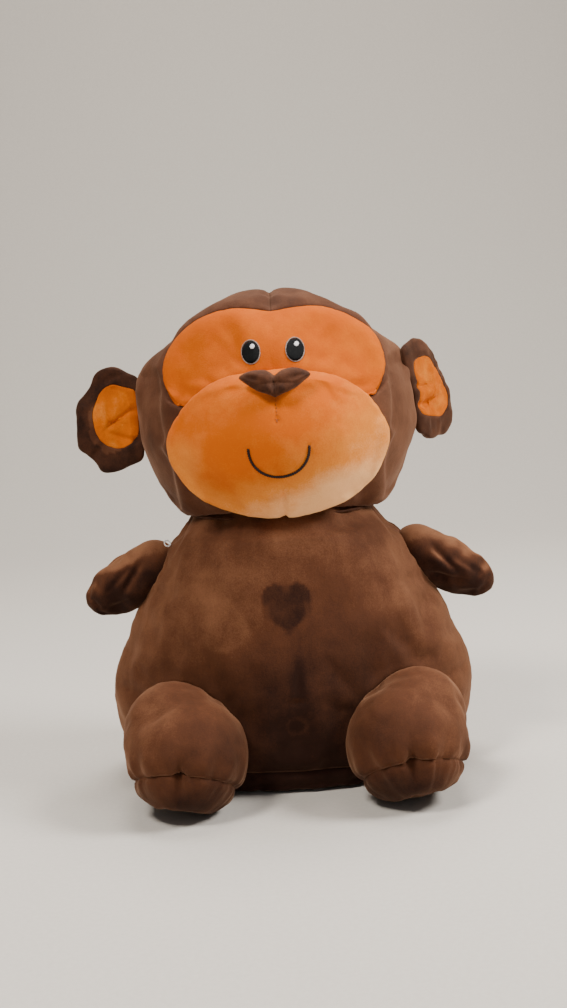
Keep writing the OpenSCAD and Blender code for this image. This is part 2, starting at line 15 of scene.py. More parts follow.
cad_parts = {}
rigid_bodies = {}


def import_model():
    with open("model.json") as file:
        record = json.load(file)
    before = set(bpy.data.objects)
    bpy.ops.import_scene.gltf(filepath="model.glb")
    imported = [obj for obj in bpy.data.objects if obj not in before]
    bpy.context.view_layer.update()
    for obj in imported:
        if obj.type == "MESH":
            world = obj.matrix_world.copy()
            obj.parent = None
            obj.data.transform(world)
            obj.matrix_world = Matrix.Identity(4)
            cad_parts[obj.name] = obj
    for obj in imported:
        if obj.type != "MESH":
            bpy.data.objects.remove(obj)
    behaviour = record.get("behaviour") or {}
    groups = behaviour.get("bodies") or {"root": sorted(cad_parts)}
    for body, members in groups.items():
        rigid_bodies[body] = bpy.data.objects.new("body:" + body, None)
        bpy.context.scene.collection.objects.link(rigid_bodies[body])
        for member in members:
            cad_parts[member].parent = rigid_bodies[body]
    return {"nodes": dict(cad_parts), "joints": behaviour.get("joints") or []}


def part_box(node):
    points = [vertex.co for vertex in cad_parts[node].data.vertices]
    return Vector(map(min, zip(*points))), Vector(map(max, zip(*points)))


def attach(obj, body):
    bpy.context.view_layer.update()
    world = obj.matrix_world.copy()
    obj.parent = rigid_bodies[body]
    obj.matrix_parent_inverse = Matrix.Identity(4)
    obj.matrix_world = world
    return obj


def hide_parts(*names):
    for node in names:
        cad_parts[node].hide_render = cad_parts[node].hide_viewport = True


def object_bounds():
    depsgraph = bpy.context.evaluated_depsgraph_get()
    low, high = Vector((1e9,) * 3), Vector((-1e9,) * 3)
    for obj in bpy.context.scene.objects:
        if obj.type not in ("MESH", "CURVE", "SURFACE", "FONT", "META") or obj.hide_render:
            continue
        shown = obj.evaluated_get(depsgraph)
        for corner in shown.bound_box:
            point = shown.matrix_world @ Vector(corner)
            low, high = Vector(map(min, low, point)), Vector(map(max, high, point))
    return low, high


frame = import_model()
cad_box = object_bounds()

MM = 0.001
JOINTS = {j["name"]: j for j in frame["joints"]}


def joint_at(name):
    """A joint's place in millimetres."""
    return np.array(JOINTS[name]["pos_m"]) / MM


def box_mm(node):
    """A CAD node's lowest and highest corners in millimetres."""
    low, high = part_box(node)
    return np.array(low) / MM, np.array(high) / MM


# ---- Camera ---------------------------------------------------------------------------

CAMERA_AT = (0.001, -1.185, 0.365)     # in metres
LOOK_DOWN = 6.94
LEAN = -3.5
LENS = 51
SENSOR = 36


def link_new(name, data):
    """A new object with this data, in the scene."""
    obj = bpy.data.objects.new(name, data)
    bpy.context.scene.collection.objects.link(obj)
    return obj


def make_camera():
    data = bpy.data.cameras.new("camera")
    data.lens = LENS
    data.sensor_width = SENSOR
    camera = link_new("camera", data)
    pitch = math.radians(90 - LOOK_DOWN)
    turn = Matrix.Rotation(pitch, 4, "X") @ Matrix.Rotation(math.radians(LEAN), 4, "Z")
    camera.matrix_world = Matrix.Translation(CAMERA_AT) @ turn
    bpy.context.scene.camera = camera


make_camera()

# ---- Dimensions -----------------------------------------------------------------------

NECK = joint_at("neck_turn")
ARM = joint_at("left_shoulder_lift")
LEG = joint_at("left_hip_lift")
EARS = {1: joint_at("left_ear_fold"), -1: joint_at("right_ear_fold")}
DOME_R = box_mm("left_back_panel")[1][2] - NECK[2]
NECK_GAP = 3.0
SEAM_THREAD_R = 0.45
ARM_R = 21.0
ARM_LEN = {1: 71.0, -1: 65.0}
ARM_DROOP = 30.0
# The balls a leg is built round, at the hip, knee and toe: offset from the hip joint, radius.
LEG_BALLS = [([1, 0, 1], 42.0), ([3, -18, 13], 36.5), ([-8, -36, -3.2], 45.6)]
LEG_TILT = -46.0
BASE_SEAM = box_mm("base_panel")[1][2]

HEAD = np.array([0.0, 0.0, 288.0])
HEAD_A = box_mm("left_head_panel")[1][0]
HEAD_B = box_mm("left_head_panel")[1][1]
HEAD_UP = box_mm("left_head_panel")[1][2] - HEAD[2]
HEAD_DOWN = 107.0
JAW = 1.75

MUZZLE = np.array([0.0, 278.0])
MUZZLE_A = 79.0
MUZZLE_UP = 52.0
MUZZLE_DN = 53.0
MUZZLE_OUT = 36.0
MUZZLE_ROLL = math.radians(115)
MUZZLE_CORNER = 33.0
SEAM_PLAY = 0.994

# Levels of the body: height, half width, half depth.
BODY = np.array([
    [0, 98, 70], [1.2, 112, 80], [8, 124, 87], [18, 133, 92], [32, 142, 97], [48, 147.5, 100],
    [65, 149.5, 101], [85, 147, 101], [106, 140, 99.5], [127, 131.5, 97], [148, 121.5, 94],
    [166, 113, 91], [181, 105, 88], [193, 97, 86], [201, 89.5, 84],
])
# The orange face's top edge for x > 0, from the dip at the crown to the muzzle's corner.
FACE_TOP = [[0, 382], [18, 384.5], [40, 384], [62, 376], [80, 362], [89, 345], [89, 328], [81, 315]]
# The nose's outline for x > 0 about its centre, from the notch on top to the tip.
NOSE = [[0, 6.5], [7, 10.5], [17, 11], [26, 7.5], [26, 3.5], [14, -4.5], [0, -10.5]]
NOSE_Z = 325.5
NOSE_OUT = 13.0
NOSE_SEAT = 1.2            # how far its edge stands off the muzzle's brow
MOUTH_W = 23.0
MOUTH_D = 23.0
EYE = np.array([17.2, 349.5])
EYE_SIZE = np.array([6.8, 8.8])
GLINT = [1.4, 4.3]         # from the eye's middle
GLINT_SIZE = np.array([1.7, 1.9])

# ---- Small helpers --------------------------------------------------------------------


def lerp(a, b, t):
    return a + (b - a) * t


def unit(v):
    v = np.asarray(v, float)
    return v / np.linalg.norm(v, axis=-1, keepdims=True)


def clamp(x):
    """x kept to 0 to 1."""
    return np.clip(x, 0, 1)


def joined(*parts):
    """Points made of one array for each coordinate."""
    return np.stack(parts, -1)


def steps(count):
    """Evenly spaced values from 0 to 1."""
    return np.linspace(0, 1, count)


def smoothstep(low, high, x):
    t = clamp((x - low) / (high - low))
    return t * t * (3 - 2 * t)


def bell(*offsets):
    """1 where every offset is 0, falling off smoothly to nearly 0 at an offset of 2."""
    return np.exp(-sum(offset * offset for offset in offsets))


def spots(x, z, marks):
    """The sum of soft spots, each given as height, x, z, half width and half height."""
    return sum(height * bell((x - mx) / wide, (z - mz) / tall) for height, mx, mz, wide, tall in marks)


def between(a, b, c, d, u):
    """The Catmull-Rom curve from b (u = 0) to c (u = 1)."""
    bend = 3 * b - a - 3 * c + d
    return 0.5 * (2 * b + (c - a) * u + (2 * a - 5 * b + 4 * c - d) * u * u + bend * u ** 3)


def spline(points, t):
    """A smooth curve through the points, at every t from 0 to 1."""
    P = np.asarray(points, float)
    last = len(P) - 1
    s = clamp(t) * last
    i = np.minimum(s.astype(int), last - 1)
    return between(P[np.maximum(i - 1, 0)], P[i], P[i + 1], P[np.minimum(i + 2, last)], (s - i)[..., None])


def enter_ball(origin, way, centre, radius, far):
    """How far along each ray the ball begins, or `far` where the ray misses it."""
    m = origin - centre
    b = np.sum(m * way, -1)
    q = b * b - (np.sum(m * m, -1) - radius * radius)
    hit = (q > 0) & (b < 0)
    return np.where(hit, np.minimum(far, np.maximum(0, -b - np.sqrt(np.maximum(q, 0)))), far)


def wobble(points, size, seed, octaves=2):
    """Smooth noise from about -1 to 1 with bumps about `size` across, at each point."""
    draw = np.random.default_rng(seed)
    order = draw.permutation(256)
    slopes = unit(draw.normal(size=(256, 3)))
    total, weight = 0.0, 1.0
    for octave in range(octaves):
        p = points / size * 2 ** octave + 17.3 * (seed + octave)
        cell = np.floor(p).astype(int)
        part = p - cell
        fade = part ** 3 * (part * (part * 6 - 15) + 10)
        for corner in np.ndindex(2, 2, 2):
            at = (cell + corner) & 255
            slope = slopes[order[(order[(order[at[:, 0]] + at[:, 1]) & 255] + at[:, 2]) & 255]]
            share = np.where(corner, fade, 1 - fade).prod(1)
            total = total + weight * share * np.sum(slope * (part - corner), 1)
        weight *= 0.5
    return 1.7 * total


def mirrored(f):
    """The same surface on the other side, with its u running the other way."""
    return lambda u, v: f(1 - u, v) * [-1, 1, 1]


# ---- Cloth skins ----------------------------------------------------------------------


def grid_faces(rows, columns, start=0, ring=False):
    """The quads of a grid of points. A ring's last row meets its first, and its columns too."""
    faces = []
    for i in range(rows - (not ring)):
        for j in range(columns - (not ring)):
            a, b = start + i * columns, start + (i + 1) % rows * columns
            k = (j + 1) % columns
            faces.append((a + j, b + j, b + k, a + k))
    return faces


class Skin:
    """A closed skin of sewn panels. Each panel is a grid that shares its edges' points."""

    def __init__(self, name, panels):
        self.name = name
        self.panels = panels
        self.points = []
        self.faces = []
        self.panel_of = []
        self.count = 0

    def grid(self, panel, f, u, v):
        """f(u, v) over the values of u and v; the outside is on the u cross v side."""
        U, V = np.meshgrid(u, v, indexing="ij")
        self.points.append(np.asarray(f(U, V), float).reshape(-1, 3))
        faces = grid_faces(len(u), len(v), self.count)
        self.faces += faces
        self.panel_of += [self.panels.index(panel)] * len(faces)
        self.count += len(u) * len(v)

    def sew(self):
        """Joins the grids where they meet and makes the mesh, in metres."""
        mesh = bpy.data.meshes.new(self.name)
        mesh.from_pydata(np.concatenate(self.points) * MM, [], self.faces)
        mesh.polygons.foreach_set("material_index", self.panel_of)
        for panel in self.panels:
            mesh.materials.append(bpy.data.materials.new("panel_" + panel))
        body = bmesh.new()
        body.from_mesh(mesh)
        bmesh.ops.remove_doubles(body, verts=body.verts, dist=0.05 * MM)
        bmesh.ops.dissolve_degenerate(body, edges=body.edges, dist=0.02 * MM)
        bmesh.ops.recalc_face_normals(body, faces=body.faces)
        body.to_mesh(mesh)
        body.free()
        self.obj = link_new(self.name, mesh)


def stuffed(skin, **how):
    """The skin sewn up, filled, and divided once more."""
    skin.sew()
    settle(skin, **how)
    finer(skin.obj)
    return skin.obj


def read(mesh, group, name, columns=0, kind=np.int32):
    """One value of each vertex, edge, loop or polygon of a mesh, or a row of `columns` values."""
    items = getattr(mesh, group)
    values = np.zeros(len(items) * max(columns, 1), kind)
    items.foreach_get(name, values)
    return values.reshape(-1, columns) if columns else values


def co_of(obj):
    return read(obj.data, "vertices", "co", 3, float) / MM


def set_co(obj, co):
    obj.data.vertices.foreach_set("co", (co * MM).ravel())
    obj.data.update()


def normals_of(obj):
    return read(obj.data, "vertices", "normal", 3, float)


def push(obj, lift):
    """Moves each point of the cloth out along its normal."""
    set_co(obj, co_of(obj) + normals_of(obj) * lift[:, None])


def apart(co, place):
    """How far each point is from a place."""
    return np.linalg.norm(co - place, axis=1)


def tree_of(points):
    tree = KDTree(len(points))
    for k, point in enumerate(points):
        tree.insert(point, k)
    tree.balance()
    return tree


def edges_of(obj):
    return read(obj.data, "edges", "vertices", 2)


def seam_points(obj):
    """The vertices that lie between two panels."""
    touched = {}
    for face in obj.data.polygons:
        for v in face.vertices:
            touched.setdefault(v, set()).add(face.material_index)
    return np.array(sorted(v for v, panels in touched.items() if len(panels) > 1), int)


def smoothed(obj, values, passes):
    """The values averaged with their neighbours' a number of times."""
    edges = edges_of(obj)
    ends = np.concatenate([edges[:, 0], edges[:, 1]])
    others = np.concatenate([edges[:, 1], edges[:, 0]])
    count = len(values)
    degree = np.maximum(np.bincount(ends, minlength=count), 1)
    out = values.copy()
    for _ in range(passes):
        mean = [np.bincount(ends, weights=out[others, k], minlength=count) / degree for k in range(3)]
        out = 0.5 * out + 0.5 * np.stack(mean, -1)
    return out


FRAMES = 20           # length of each simulation
SWELL_PASSES = 60     # smoothing that tells the swelling as a whole from the wrinkles
CLOTH = {
    "quality": 5, "mass": 0.15, "tension_stiffness": 25, "compression_stiffness": 25,
    "shear_stiffness": 8, "bending_stiffness": 0.4, "use_pressure": True, "vertex_group_mass": "pins",
}


def settle(skin, spare, pressure=4.0, cap=4.0, held=None, keep=0.35):
    """Blows the sewn skin up as cloth that is `spare` too large for its seams.

    The seams and the `held` vertices stay put. What the cloth does over a short distance,
    its wrinkles, is kept whole, and the swelling as a whole is kept to the share `keep`.
    """
    obj = skin.obj
    before = co_of(obj)
    pins = np.zeros(len(before), bool)
    pins[seam_points(obj)] = True
    if held is not None:
        pins |= held(before)
    group = obj.vertex_groups.new(name="pins")
    group.add([int(i) for i in np.flatnonzero(pins)], 1.0, "REPLACE")
    cloth = obj.modifiers.new("cloth", "CLOTH")
    for setting, value in CLOTH.items():
        setattr(cloth.settings, setting, value)
    cloth.settings.uniform_pressure_force = pressure
    cloth.settings.shrink_min = -spare
    cloth.settings.effector_weights.gravity = 0
    cloth.collision_settings.use_collision = False
    cloth.point_cache.frame_start = 1
    cloth.point_cache.frame_end = FRAMES
    scene = bpy.context.scene
    for step in range(1, FRAMES + 1):
        scene.frame_set(step)
    ready = obj.evaluated_get(bpy.context.evaluated_depsgraph_get())
    after = co_of(ready)
    obj.modifiers.remove(cloth)
    scene.frame_set(1)
    move = after - before
    move -= smoothed(obj, move, SWELL_PASSES) * (1 - keep)
    size = np.linalg.norm(move, axis=1, keepdims=True)
    move *= np.minimum(1, cap / np.maximum(size, 1e-6))
    move[pins] = 0
    set_co(obj, before + smoothed(obj, move, 1))


def gathered(ids, values, count):
    """The mean of the values that share an id."""
    sums = np.stack([np.bincount(ids, values[:, k], count) for k in range(3)], -1)
    return sums / np.bincount(ids, minlength=count)[:, None]


def finer(obj):
    """One pass of Catmull-Clark over the closed skin."""
    old = obj.data
    co = read(old, "vertices", "co", 3, float)
    ends = edges_of(obj)
    corner = read(old, "loops", "vertex_index")
    side = read(old, "loops", "edge_index")
    total = read(old, "polygons", "loop_total")
    panel = read(old, "polygons", "material_index")
    face = np.repeat(np.arange(len(total)), total)
    before = np.arange(len(corner)) - 1
    before[read(old, "polygons", "loop_start")] += total
    middle = gathered(face, co[corner], len(total))
    half = co[ends].mean(1)
    edge_point = (half + gathered(side, middle[face], len(ends))) / 2
    valence = np.bincount(ends.ravel(), minlength=len(co))[:, None]
    around = gathered(corner, middle[face], len(co))
    halves = gathered(ends.ravel(), np.repeat(half, 2, 0), len(co))
    moved = (around + 2 * halves + (valence - 3) * co) / valence
    on_edge = side + len(co)
    quads = joined(corner, on_edge, face + len(co) + len(ends), on_edge[before])
    mesh = bpy.data.meshes.new(old.name)
    mesh.from_pydata(np.concatenate([moved, edge_point, middle]), [], quads.tolist())
    mesh.polygons.foreach_set("material_index", panel[face])
    for material in old.materials:
        mesh.materials.append(material)
    obj.data = mesh


class Seams:
    """How far each vertex is from the skin's seams, and where its nearest seam point is."""

    def __init__(self, obj, keep=None):
        self.ids = seam_points(obj)
        co = co_of(obj)
        if keep is not None:
            self.ids = self.ids[keep(co[self.ids])]
        tree = tree_of(co[self.ids])
        found = [tree.find(p) for p in co]
        self.nearest = np.array([f[1] for f in found])
        self.distance = np.array([f[2] for f in found])
        self.seam_co = co[self.ids]

    def along(self, size, seed):
        """Noise that only changes along the seam, from -1 to 1."""
        return wobble(self.seam_co, size, seed)[self.nearest]


def sink_seams(obj, seams, depth=1.4, width=2.2, pucker=0.0, reach=9.0, size=7.0, seed=1, mask=None):
    """Draws the cloth in at its seams, with small puckers square to them."""
    co = co_of(obj)
    share = 1.0 if mask is None else mask(co)
    groove = depth * bell(seams.distance / width)
    waves = seams.along(size, seed) * pucker
    fade = np.exp(-(seams.distance / reach)) * smoothstep(0, 2.5, seams.distance)
    push(obj, -groove + share * waves * fade)


def lumps(obj, height, size, seed, mask=None):
    """Broad shallow lumps of the fill under the cloth."""
    co = co_of(obj)
    share = 1.0 if mask is None else mask(co)
    push(obj, height * wobble(co, size, seed) * share)


FLANGE = 4.0


def cut_panels(skin, nap, hidden=()):
    """Splits the finished skin into its panels. Each gets its seam allowance turned inward.

    The second argument says how the pile is brushed, and in places painted light and shade. Panels that are
    `hidden` inside are left out.
    """
    obj = skin.obj
    nap = np.clip(nap, -1, 1)
    co = co_of(obj)
    normal = normals_of(obj)
    made = {}
    for index, panel in enumerate(skin.panels):
        if panel in hidden:
            continue
        faces = [tuple(f.vertices) for f in obj.data.polygons if f.material_index == index]
        used = sorted({v for f in faces for v in f})
        number = {v: k for k, v in enumerate(used)}
        edges = {}
        for f in faces:
            for a, b in zip(f, f[1:] + f[:1]):
                edges[(a, b)] = edges.get((a, b), 0) + 1
        rim = [(a, b) for a, b in edges if (b, a) not in edges]
        points = [co[v] for v in used]
        inner = {}
        for v in sorted({v for edge in rim for v in edge}):
            inner[v] = len(points)
            points.append(co[v] - normal[v] * FLANGE)
        mesh = bpy.data.meshes.new(panel)
        polygons = [tuple(number[v] for v in f) for f in faces]
        polygons += [(number[b], number[a], inner[a], inner[b]) for a, b in rim]
        mesh.from_pydata(np.array(points) * MM, [], polygons)
        mesh.polygons.foreach_set("use_smooth", [True] * len(polygons))
        piece = link_new(panel, mesh)
        paint_nap_and_shade(piece, [nap[v] for v in used] + [0.0] * len(inner))
        made[panel] = piece
    bpy.data.objects.remove(obj)
    return made


def paint_nap_and_shade(obj, values):
    """Stores one number a vertex, from -1 to 1, for the piece's material to read: how the pile is brushed,
    and in places painted light and shade.
    """
    layer = obj.data.attributes.new("nap", "FLOAT", "POINT")
    layer.data.foreach_set("value", np.asarray(values, np.float32))

# ---- Torso ----------------------------------------------------------------------------

SOCKET_TUCK = 1.5     # how far a socket's cloth lies inside the limb that fills it
ARM_LIP = 13.0


def at_side(place, side):
    return place * [side, 1, 1]


def leg_balls(parts):
    """The balls that fill out a leg: those of LEG_BALLS, and some between each two of them."""
    for k, (middle, radius) in enumerate(LEG_BALLS):
        end, size = LEG_BALLS[(k + 1) % len(LEG_BALLS)]
        for share in np.arange(parts) / parts:
            yield lerp(np.array(middle, float), np.array(end, float), share), lerp(radius, size, share)


def sockets():
    """The balls that the torso makes room for, a little inside each limb's skin."""
    slope = math.radians(ARM_DROOP)
    away = np.array([math.cos(slope), 0, -math.sin(slope)])
    for side in (-1, 1):
        yield at_side(ARM, side), ARM_R - SOCKET_TUCK
        yield at_side(ARM + ARM_LIP * away, side), ARM_R - SOCKET_TUCK - 1
        for middle, radius in leg_balls(3):
            yield at_side(LEG + middle, side), radius - SOCKET_TUCK


def level(z):
    """The torso's half width and half depth at each height."""
    heights = BODY[:, 0]
    slope = np.gradient(BODY[:, 1:], heights, axis=0)
    i = np.clip(np.searchsorted(heights, z, side="right") - 1, 0, len(BODY) - 2)
    step = heights[i + 1] - heights[i]
    t = clamp((z - heights[i]) / step)[..., None]
    step = step[..., None]
    a, b = BODY[i, 1:], BODY[i + 1, 1:]
    curve = (1 + 2 * t) * (1 - t) ** 2 * a + t * (1 - t) ** 2 * step * slope[i]
    curve += t * t * (3 - 2 * t) * b + t * t * (t - 1) * step * slope[i + 1]
    round_top = np.sqrt(np.maximum(0, DOME_R ** 2 - (z - NECK[2]) ** 2))
    top = joined(round_top, round_top * lerp(0.95, 1, clamp((z - 201) / 25)))
    return np.where((z > heights[-1])[..., None], top, curve)


def torso_at(azimuth, z):
    half = level(z)
    e = joined(np.cos(azimuth), np.sin(azimuth), 0 * azimuth)
    reach = 1 / np.sqrt((e[..., 0] / np.maximum(half[..., 0], 1e-6)) ** 2
                        + (e[..., 1] / np.maximum(half[..., 1], 1e-6)) ** 2)
    origin = joined(0 * z, 0 * z, z)
    for centre, radius in sockets():
        reach = enter_ball(origin, e, centre, radius, reach)
    return origin + reach[..., None] * e


def torso_side(u, v):
    """v runs from the base seam up to the top of the neck's dome."""
    shoulder = BODY[-1, 0]
    start = math.asin((shoulder - NECK[2]) / DOME_R)
    dome = NECK[2] + DOME_R * np.sin(lerp(start, math.pi / 2, clamp((v - 0.72) / 0.28)))
    z = np.where(v < 0.72, lerp(BASE_SEAM, shoulder, v / 0.72), dome)
    return torso_at(u, z)


def torso_base(u, v):
    """v runs from the middle of the underside out and up to the base seam."""
    flat = 0.55
    k = clamp(v / flat)
    reach = k / np.sqrt((np.cos(u) / BODY[0, 1]) ** 2 + (np.sin(u) / BODY[0, 2]) ** 2)
    disc = joined(reach * np.cos(u), reach * np.sin(u), 0 * u)
    z = BASE_SEAM * clamp((v - flat) / (1 - flat)) ** 1.5
    return np.where((v < flat)[..., None], disc, torso_at(u, z))


def near_sockets(co, room):
    near = np.zeros(len(co), bool)
    for centre, radius in sockets():
        near |= apart(co, centre) < radius + room
    return near


def heart(x, z):
    """Below 0 inside a plump heart of about unit size."""
    return (x * x + z * z - 1) ** 3 - x * x * z ** 3


# Soft spots on the belly: height, x, z, half width, half height. The first is painted shade over the belly's
# middle, the second painted shade in the crease above the navel.
BELLY_NAP_AND_SHADE = [(1.1, 16, 38, 80, 78), (0.5, 4.5, 96, 5, 15), (-0.5, 3, 79.5, 7, 1.6), (-0.35, -66, 150, 34, 36)]
BELLY_DENTS = [(2.6, 3, 78, 6, 2.2), (1.6, 4, 90, 3, 12)]
HEART = [-1, 149, 16.7, 16.8]     # the brushed mark's x, z, half width, half height


def torso_nap_and_shade(co):
    """Where the belly's cloth is darker (above 0) or lighter (below 0): the pile's brushing and its marks,
    together with painted shade and painted light.
    """
    x, z, front = co[:, 0], co[:, 2], co[:, 1] < 0
    # Painted shade: the spots darken the belly's middle and the crease above the navel, and the cloth near
    # the base is darkened too.
    dark = spots(x, z, BELLY_NAP_AND_SHADE) + 0.4 * smoothstep(34, 6, z)
    # Painted light: the sides are lightened as a painted sheen, and the upper belly as painted light from
    # above.
    dark -= 0.30 * smoothstep(70, 140, np.abs(x + 6)) + 0.15 * smoothstep(130, 190, z)
    dark += 0.75 * smoothstep(0.08, -0.08, heart((x - HEART[0]) / HEART[2], (z - HEART[1]) / HEART[3]))
    dark -= 0.3 * bell((np.hypot(x - 1, (z - 58) * 1.1) - 7.5) / 2.2)
    around = np.hypot(x + 62, (z - 136) * 1.2) - 24 - 7 * wobble(co, 26, 9)
    dark -= 0.25 * bell(around / 5) * smoothstep(-70, -52, x)
    dark += 0.22 * wobble(co, 55, 3) + 0.16 * wobble(co, 18, 4)
    return dark * front + (1 - front) * (0.1 + 0.3 * wobble(co, 40, 5))


def make_torso():
    skin = Skin("torso_skin", ["belly_cloth", "left_back_cloth", "right_back_cloth", "base_cloth"])
    up = steps(62)
    quarter = np.linspace(0, math.pi / 2, 46)
    half = np.linspace(math.pi, 2 * math.pi, 91)
    skin.grid("belly_cloth", torso_side, half, up)
    skin.grid("left_back_cloth", torso_side, quarter, up)
    skin.grid("right_back_cloth", torso_side, quarter + math.pi / 2, up)
    whole = np.concatenate([quarter, quarter[1:] + math.pi / 2, half[1:]])
    skin.grid("base_cloth", torso_base, whole, steps(22))
    body = stuffed(skin, spare=0.045, cap=3.5, held=lambda co: near_sockets(co, 2) | (co[:, 2] < 2))

    def open_cloth(co):
        return (~near_sockets(co, 0.5)) * smoothstep(1, 14, co[:, 2])

    lumps(body, 1.5, 60, 11, open_cloth)
    lumps(body, 0.5, 20, 12, open_cloth)
    seams = Seams(body)
    sink_seams(body, seams, depth=1.5, width=2.6, pucker=0.9, reach=9, seed=13, mask=open_cloth)
    x, y, z = co_of(body).T
    push(body, -spots(x, z, BELLY_DENTS) * (y < 0))
    return cut_panels(skin, torso_nap_and_shade(co_of(body)))


# ---- Head -----------------------------------------------------------------------------


def head_reach(e):
    """Distance from the head's centre to its surface, which is hollowed over the neck."""
    up = e[..., 2] > 0
    n = np.where(up, 2.0, JAW)
    c = np.where(up, HEAD_UP, HEAD_DOWN)
    flat = np.sqrt((e[..., 0] / HEAD_A) ** 2 + (e[..., 1] / HEAD_B) ** 2)
    far = (flat ** n + (np.abs(e[..., 2]) / c) ** n) ** (-1 / n)
    return enter_ball(HEAD, e, NECK, DOME_R + NECK_GAP * 0.4, far)


def on_head(way):
    e = unit(way)
    return HEAD + head_reach(e)[..., None] * e


def face_y(x, z):
    dz = z - HEAD[2]
    n = np.where(dz > 0, 2.0, JAW)
    c = np.where(dz > 0, HEAD_UP, HEAD_DOWN)
    k = np.maximum(0, 1 - (np.abs(dz) / c) ** n) ** (2 / n) - (x / HEAD_A) ** 2
    return -HEAD_B * np.sqrt(np.maximum(0, k))


def on_face(p):
    """The point of the head's front at p = (x, z), found along the ray from its centre."""
    return on_head(joined(p[..., 0], face_y(p[..., 0], p[..., 1]), p[..., 1] - HEAD[2]))


def muzzle_edge(angle):
    """The muzzle's seam in the face, at an angle in radians."""
    rise = np.where(np.sin(angle) > 0, MUZZLE_UP, MUZZLE_DN) * np.sin(angle)
    return MUZZLE + joined(MUZZLE_A * np.cos(angle), rise)


CORNER = math.radians(MUZZLE_CORNER)
FACE_TOP_CURVE = FACE_TOP + [list(muzzle_edge(np.array(CORNER)))]
TOP_SHARE = 0.45      # part of half the face's outline that runs along the mask's top
TOP_COLUMNS = 36
LOW_COLUMNS = 44


def face_edge(t):
    """The face's outline for x > 0, from the dip on top (t = 0) to the chin (t = 1)."""
    top = spline(FACE_TOP_CURVE, t / TOP_SHARE)
    low = muzzle_edge(lerp(CORNER, -math.pi / 2, clamp((t - TOP_SHARE) / (1 - TOP_SHARE))))
    return np.where((t < TOP_SHARE)[..., None], top, low)


def head_panel(u, v):
    """From the face's outline round to the middle of the head's back."""
    p = on_face(face_edge(u)) - HEAD
    start = np.arccos(-p[..., 1] / np.linalg.norm(p, axis=-1))
    turn = lerp(start, math.pi, v)
    side = np.hypot(p[..., 0], p[..., 2])
    way = joined(p[..., 0] / side * np.sin(turn), -np.cos(turn), p[..., 2] / side * np.sin(turn))
    return on_head(way)


def mask_panel(u, v):
    """u runs from the muzzle up to the mask's top edge, v across the face."""
    top = spline(FACE_TOP_CURVE, np.abs(v))
    top = joined(np.sign(v) * top[..., 0], top[..., 1])
    low = muzzle_edge(math.pi / 2 - v * (math.pi / 2 - CORNER))
    return on_face(lerp(low, top, u[..., None]))


def under_muzzle(u, v):
    """The hidden cloth that closes the head behind the muzzle. v runs outward."""
    return on_face(MUZZLE + (muzzle_edge(u) - MUZZLE) * v[..., None])


# The head's bulges over the ears: how far out, and where.
BULGES = [(6.0, [-108, 2, 330]), (4.5, [108, 2, 341])]
BULGE_WIDE = 24


def make_head():
    skin = Skin("head_skin", ["left_head_cloth", "right_head_cloth", "mask_cloth", "muzzle_back"])
    top = np.linspace(0, TOP_SHARE, TOP_COLUMNS + 1)
    outline = np.concatenate([top, np.linspace(TOP_SHARE, 1, LOW_COLUMNS + 1)[1:]])
    back = steps(56)
    skin.grid("left_head_cloth", head_panel, outline, back)
    skin.grid("right_head_cloth", mirrored(head_panel), 1 - outline, back)
    across = np.linspace(-1, 1, 2 * TOP_COLUMNS + 1)
    skin.grid("mask_cloth", mask_panel, steps(16), across)
    low = lerp(CORNER, -math.pi / 2, steps(LOW_COLUMNS + 1))
    brow = math.pi / 2 - across * (math.pi / 2 - CORNER)
    round_muzzle = np.concatenate([math.pi - low[::-1], brow[1:-1], low])
    skin.grid("muzzle_back", under_muzzle, round_muzzle, steps(10))
    neck_room = DOME_R + 7

    def free(co):
        return smoothstep(neck_room - 3, neck_room + 8, apart(co, NECK))

    head = stuffed(skin, spare=0.04, cap=3.0, held=lambda co: apart(co, NECK) < neck_room)
    co = co_of(head)
    push(head, sum(size * bell(apart(co, place) / BULGE_WIDE) for size, place in BULGES))
    lumps(head, 1.3, 55, 21, free)
    lumps(head, 0.35, 18, 22, free)
    seams = Seams(head)
    sink_seams(head, seams, depth=1.5, width=2.4, pucker=0.55, reach=7, size=6, seed=23, mask=free)
    co = co_of(head)
    nap = 0.35 * wobble(co, 30, 24) + 0.2 * wobble(co, 12, 25)
    # Painted light: the head is lightened on its +X side, where the light from that side falls.
    nap -= 0.75 * smoothstep(30, 112, co[:, 0]) * (np.abs(co[:, 1]) < 75)
    return cut_panels(skin, nap, ["muzzle_back"])


# ---- Muzzle ---------------------------------------------------------------------------


def muzzle_drop(turn):
    return (np.cos(turn) - math.cos(MUZZLE_ROLL)) / (1 - math.cos(MUZZLE_ROLL))


def muzzle_front(u, v):
    """v runs from the muzzle's middle out and back under itself to its seam."""
    turn = MUZZLE_ROLL * v
    k = (np.sin(turn) / math.sin(MUZZLE_ROLL))[..., None]
    arm = muzzle_edge(u) - MUZZLE
    seat = on_face(MUZZLE + arm * np.minimum(k, 1) * SEAM_PLAY)
    p = MUZZLE + arm * k * SEAM_PLAY
    return joined(p[..., 0], seat[..., 1] - MUZZLE_OUT * muzzle_drop(turn), p[..., 1])


def muzzle_rear(u, v):
    """The muzzle's hidden back, a little way off the face. v runs outward."""
    seat = on_face(MUZZLE + (muzzle_edge(u) - MUZZLE) * v[..., None] * SEAM_PLAY)
    return seat - joined(0 * v, 2.0 * (1 - v ** 4), 0 * v)


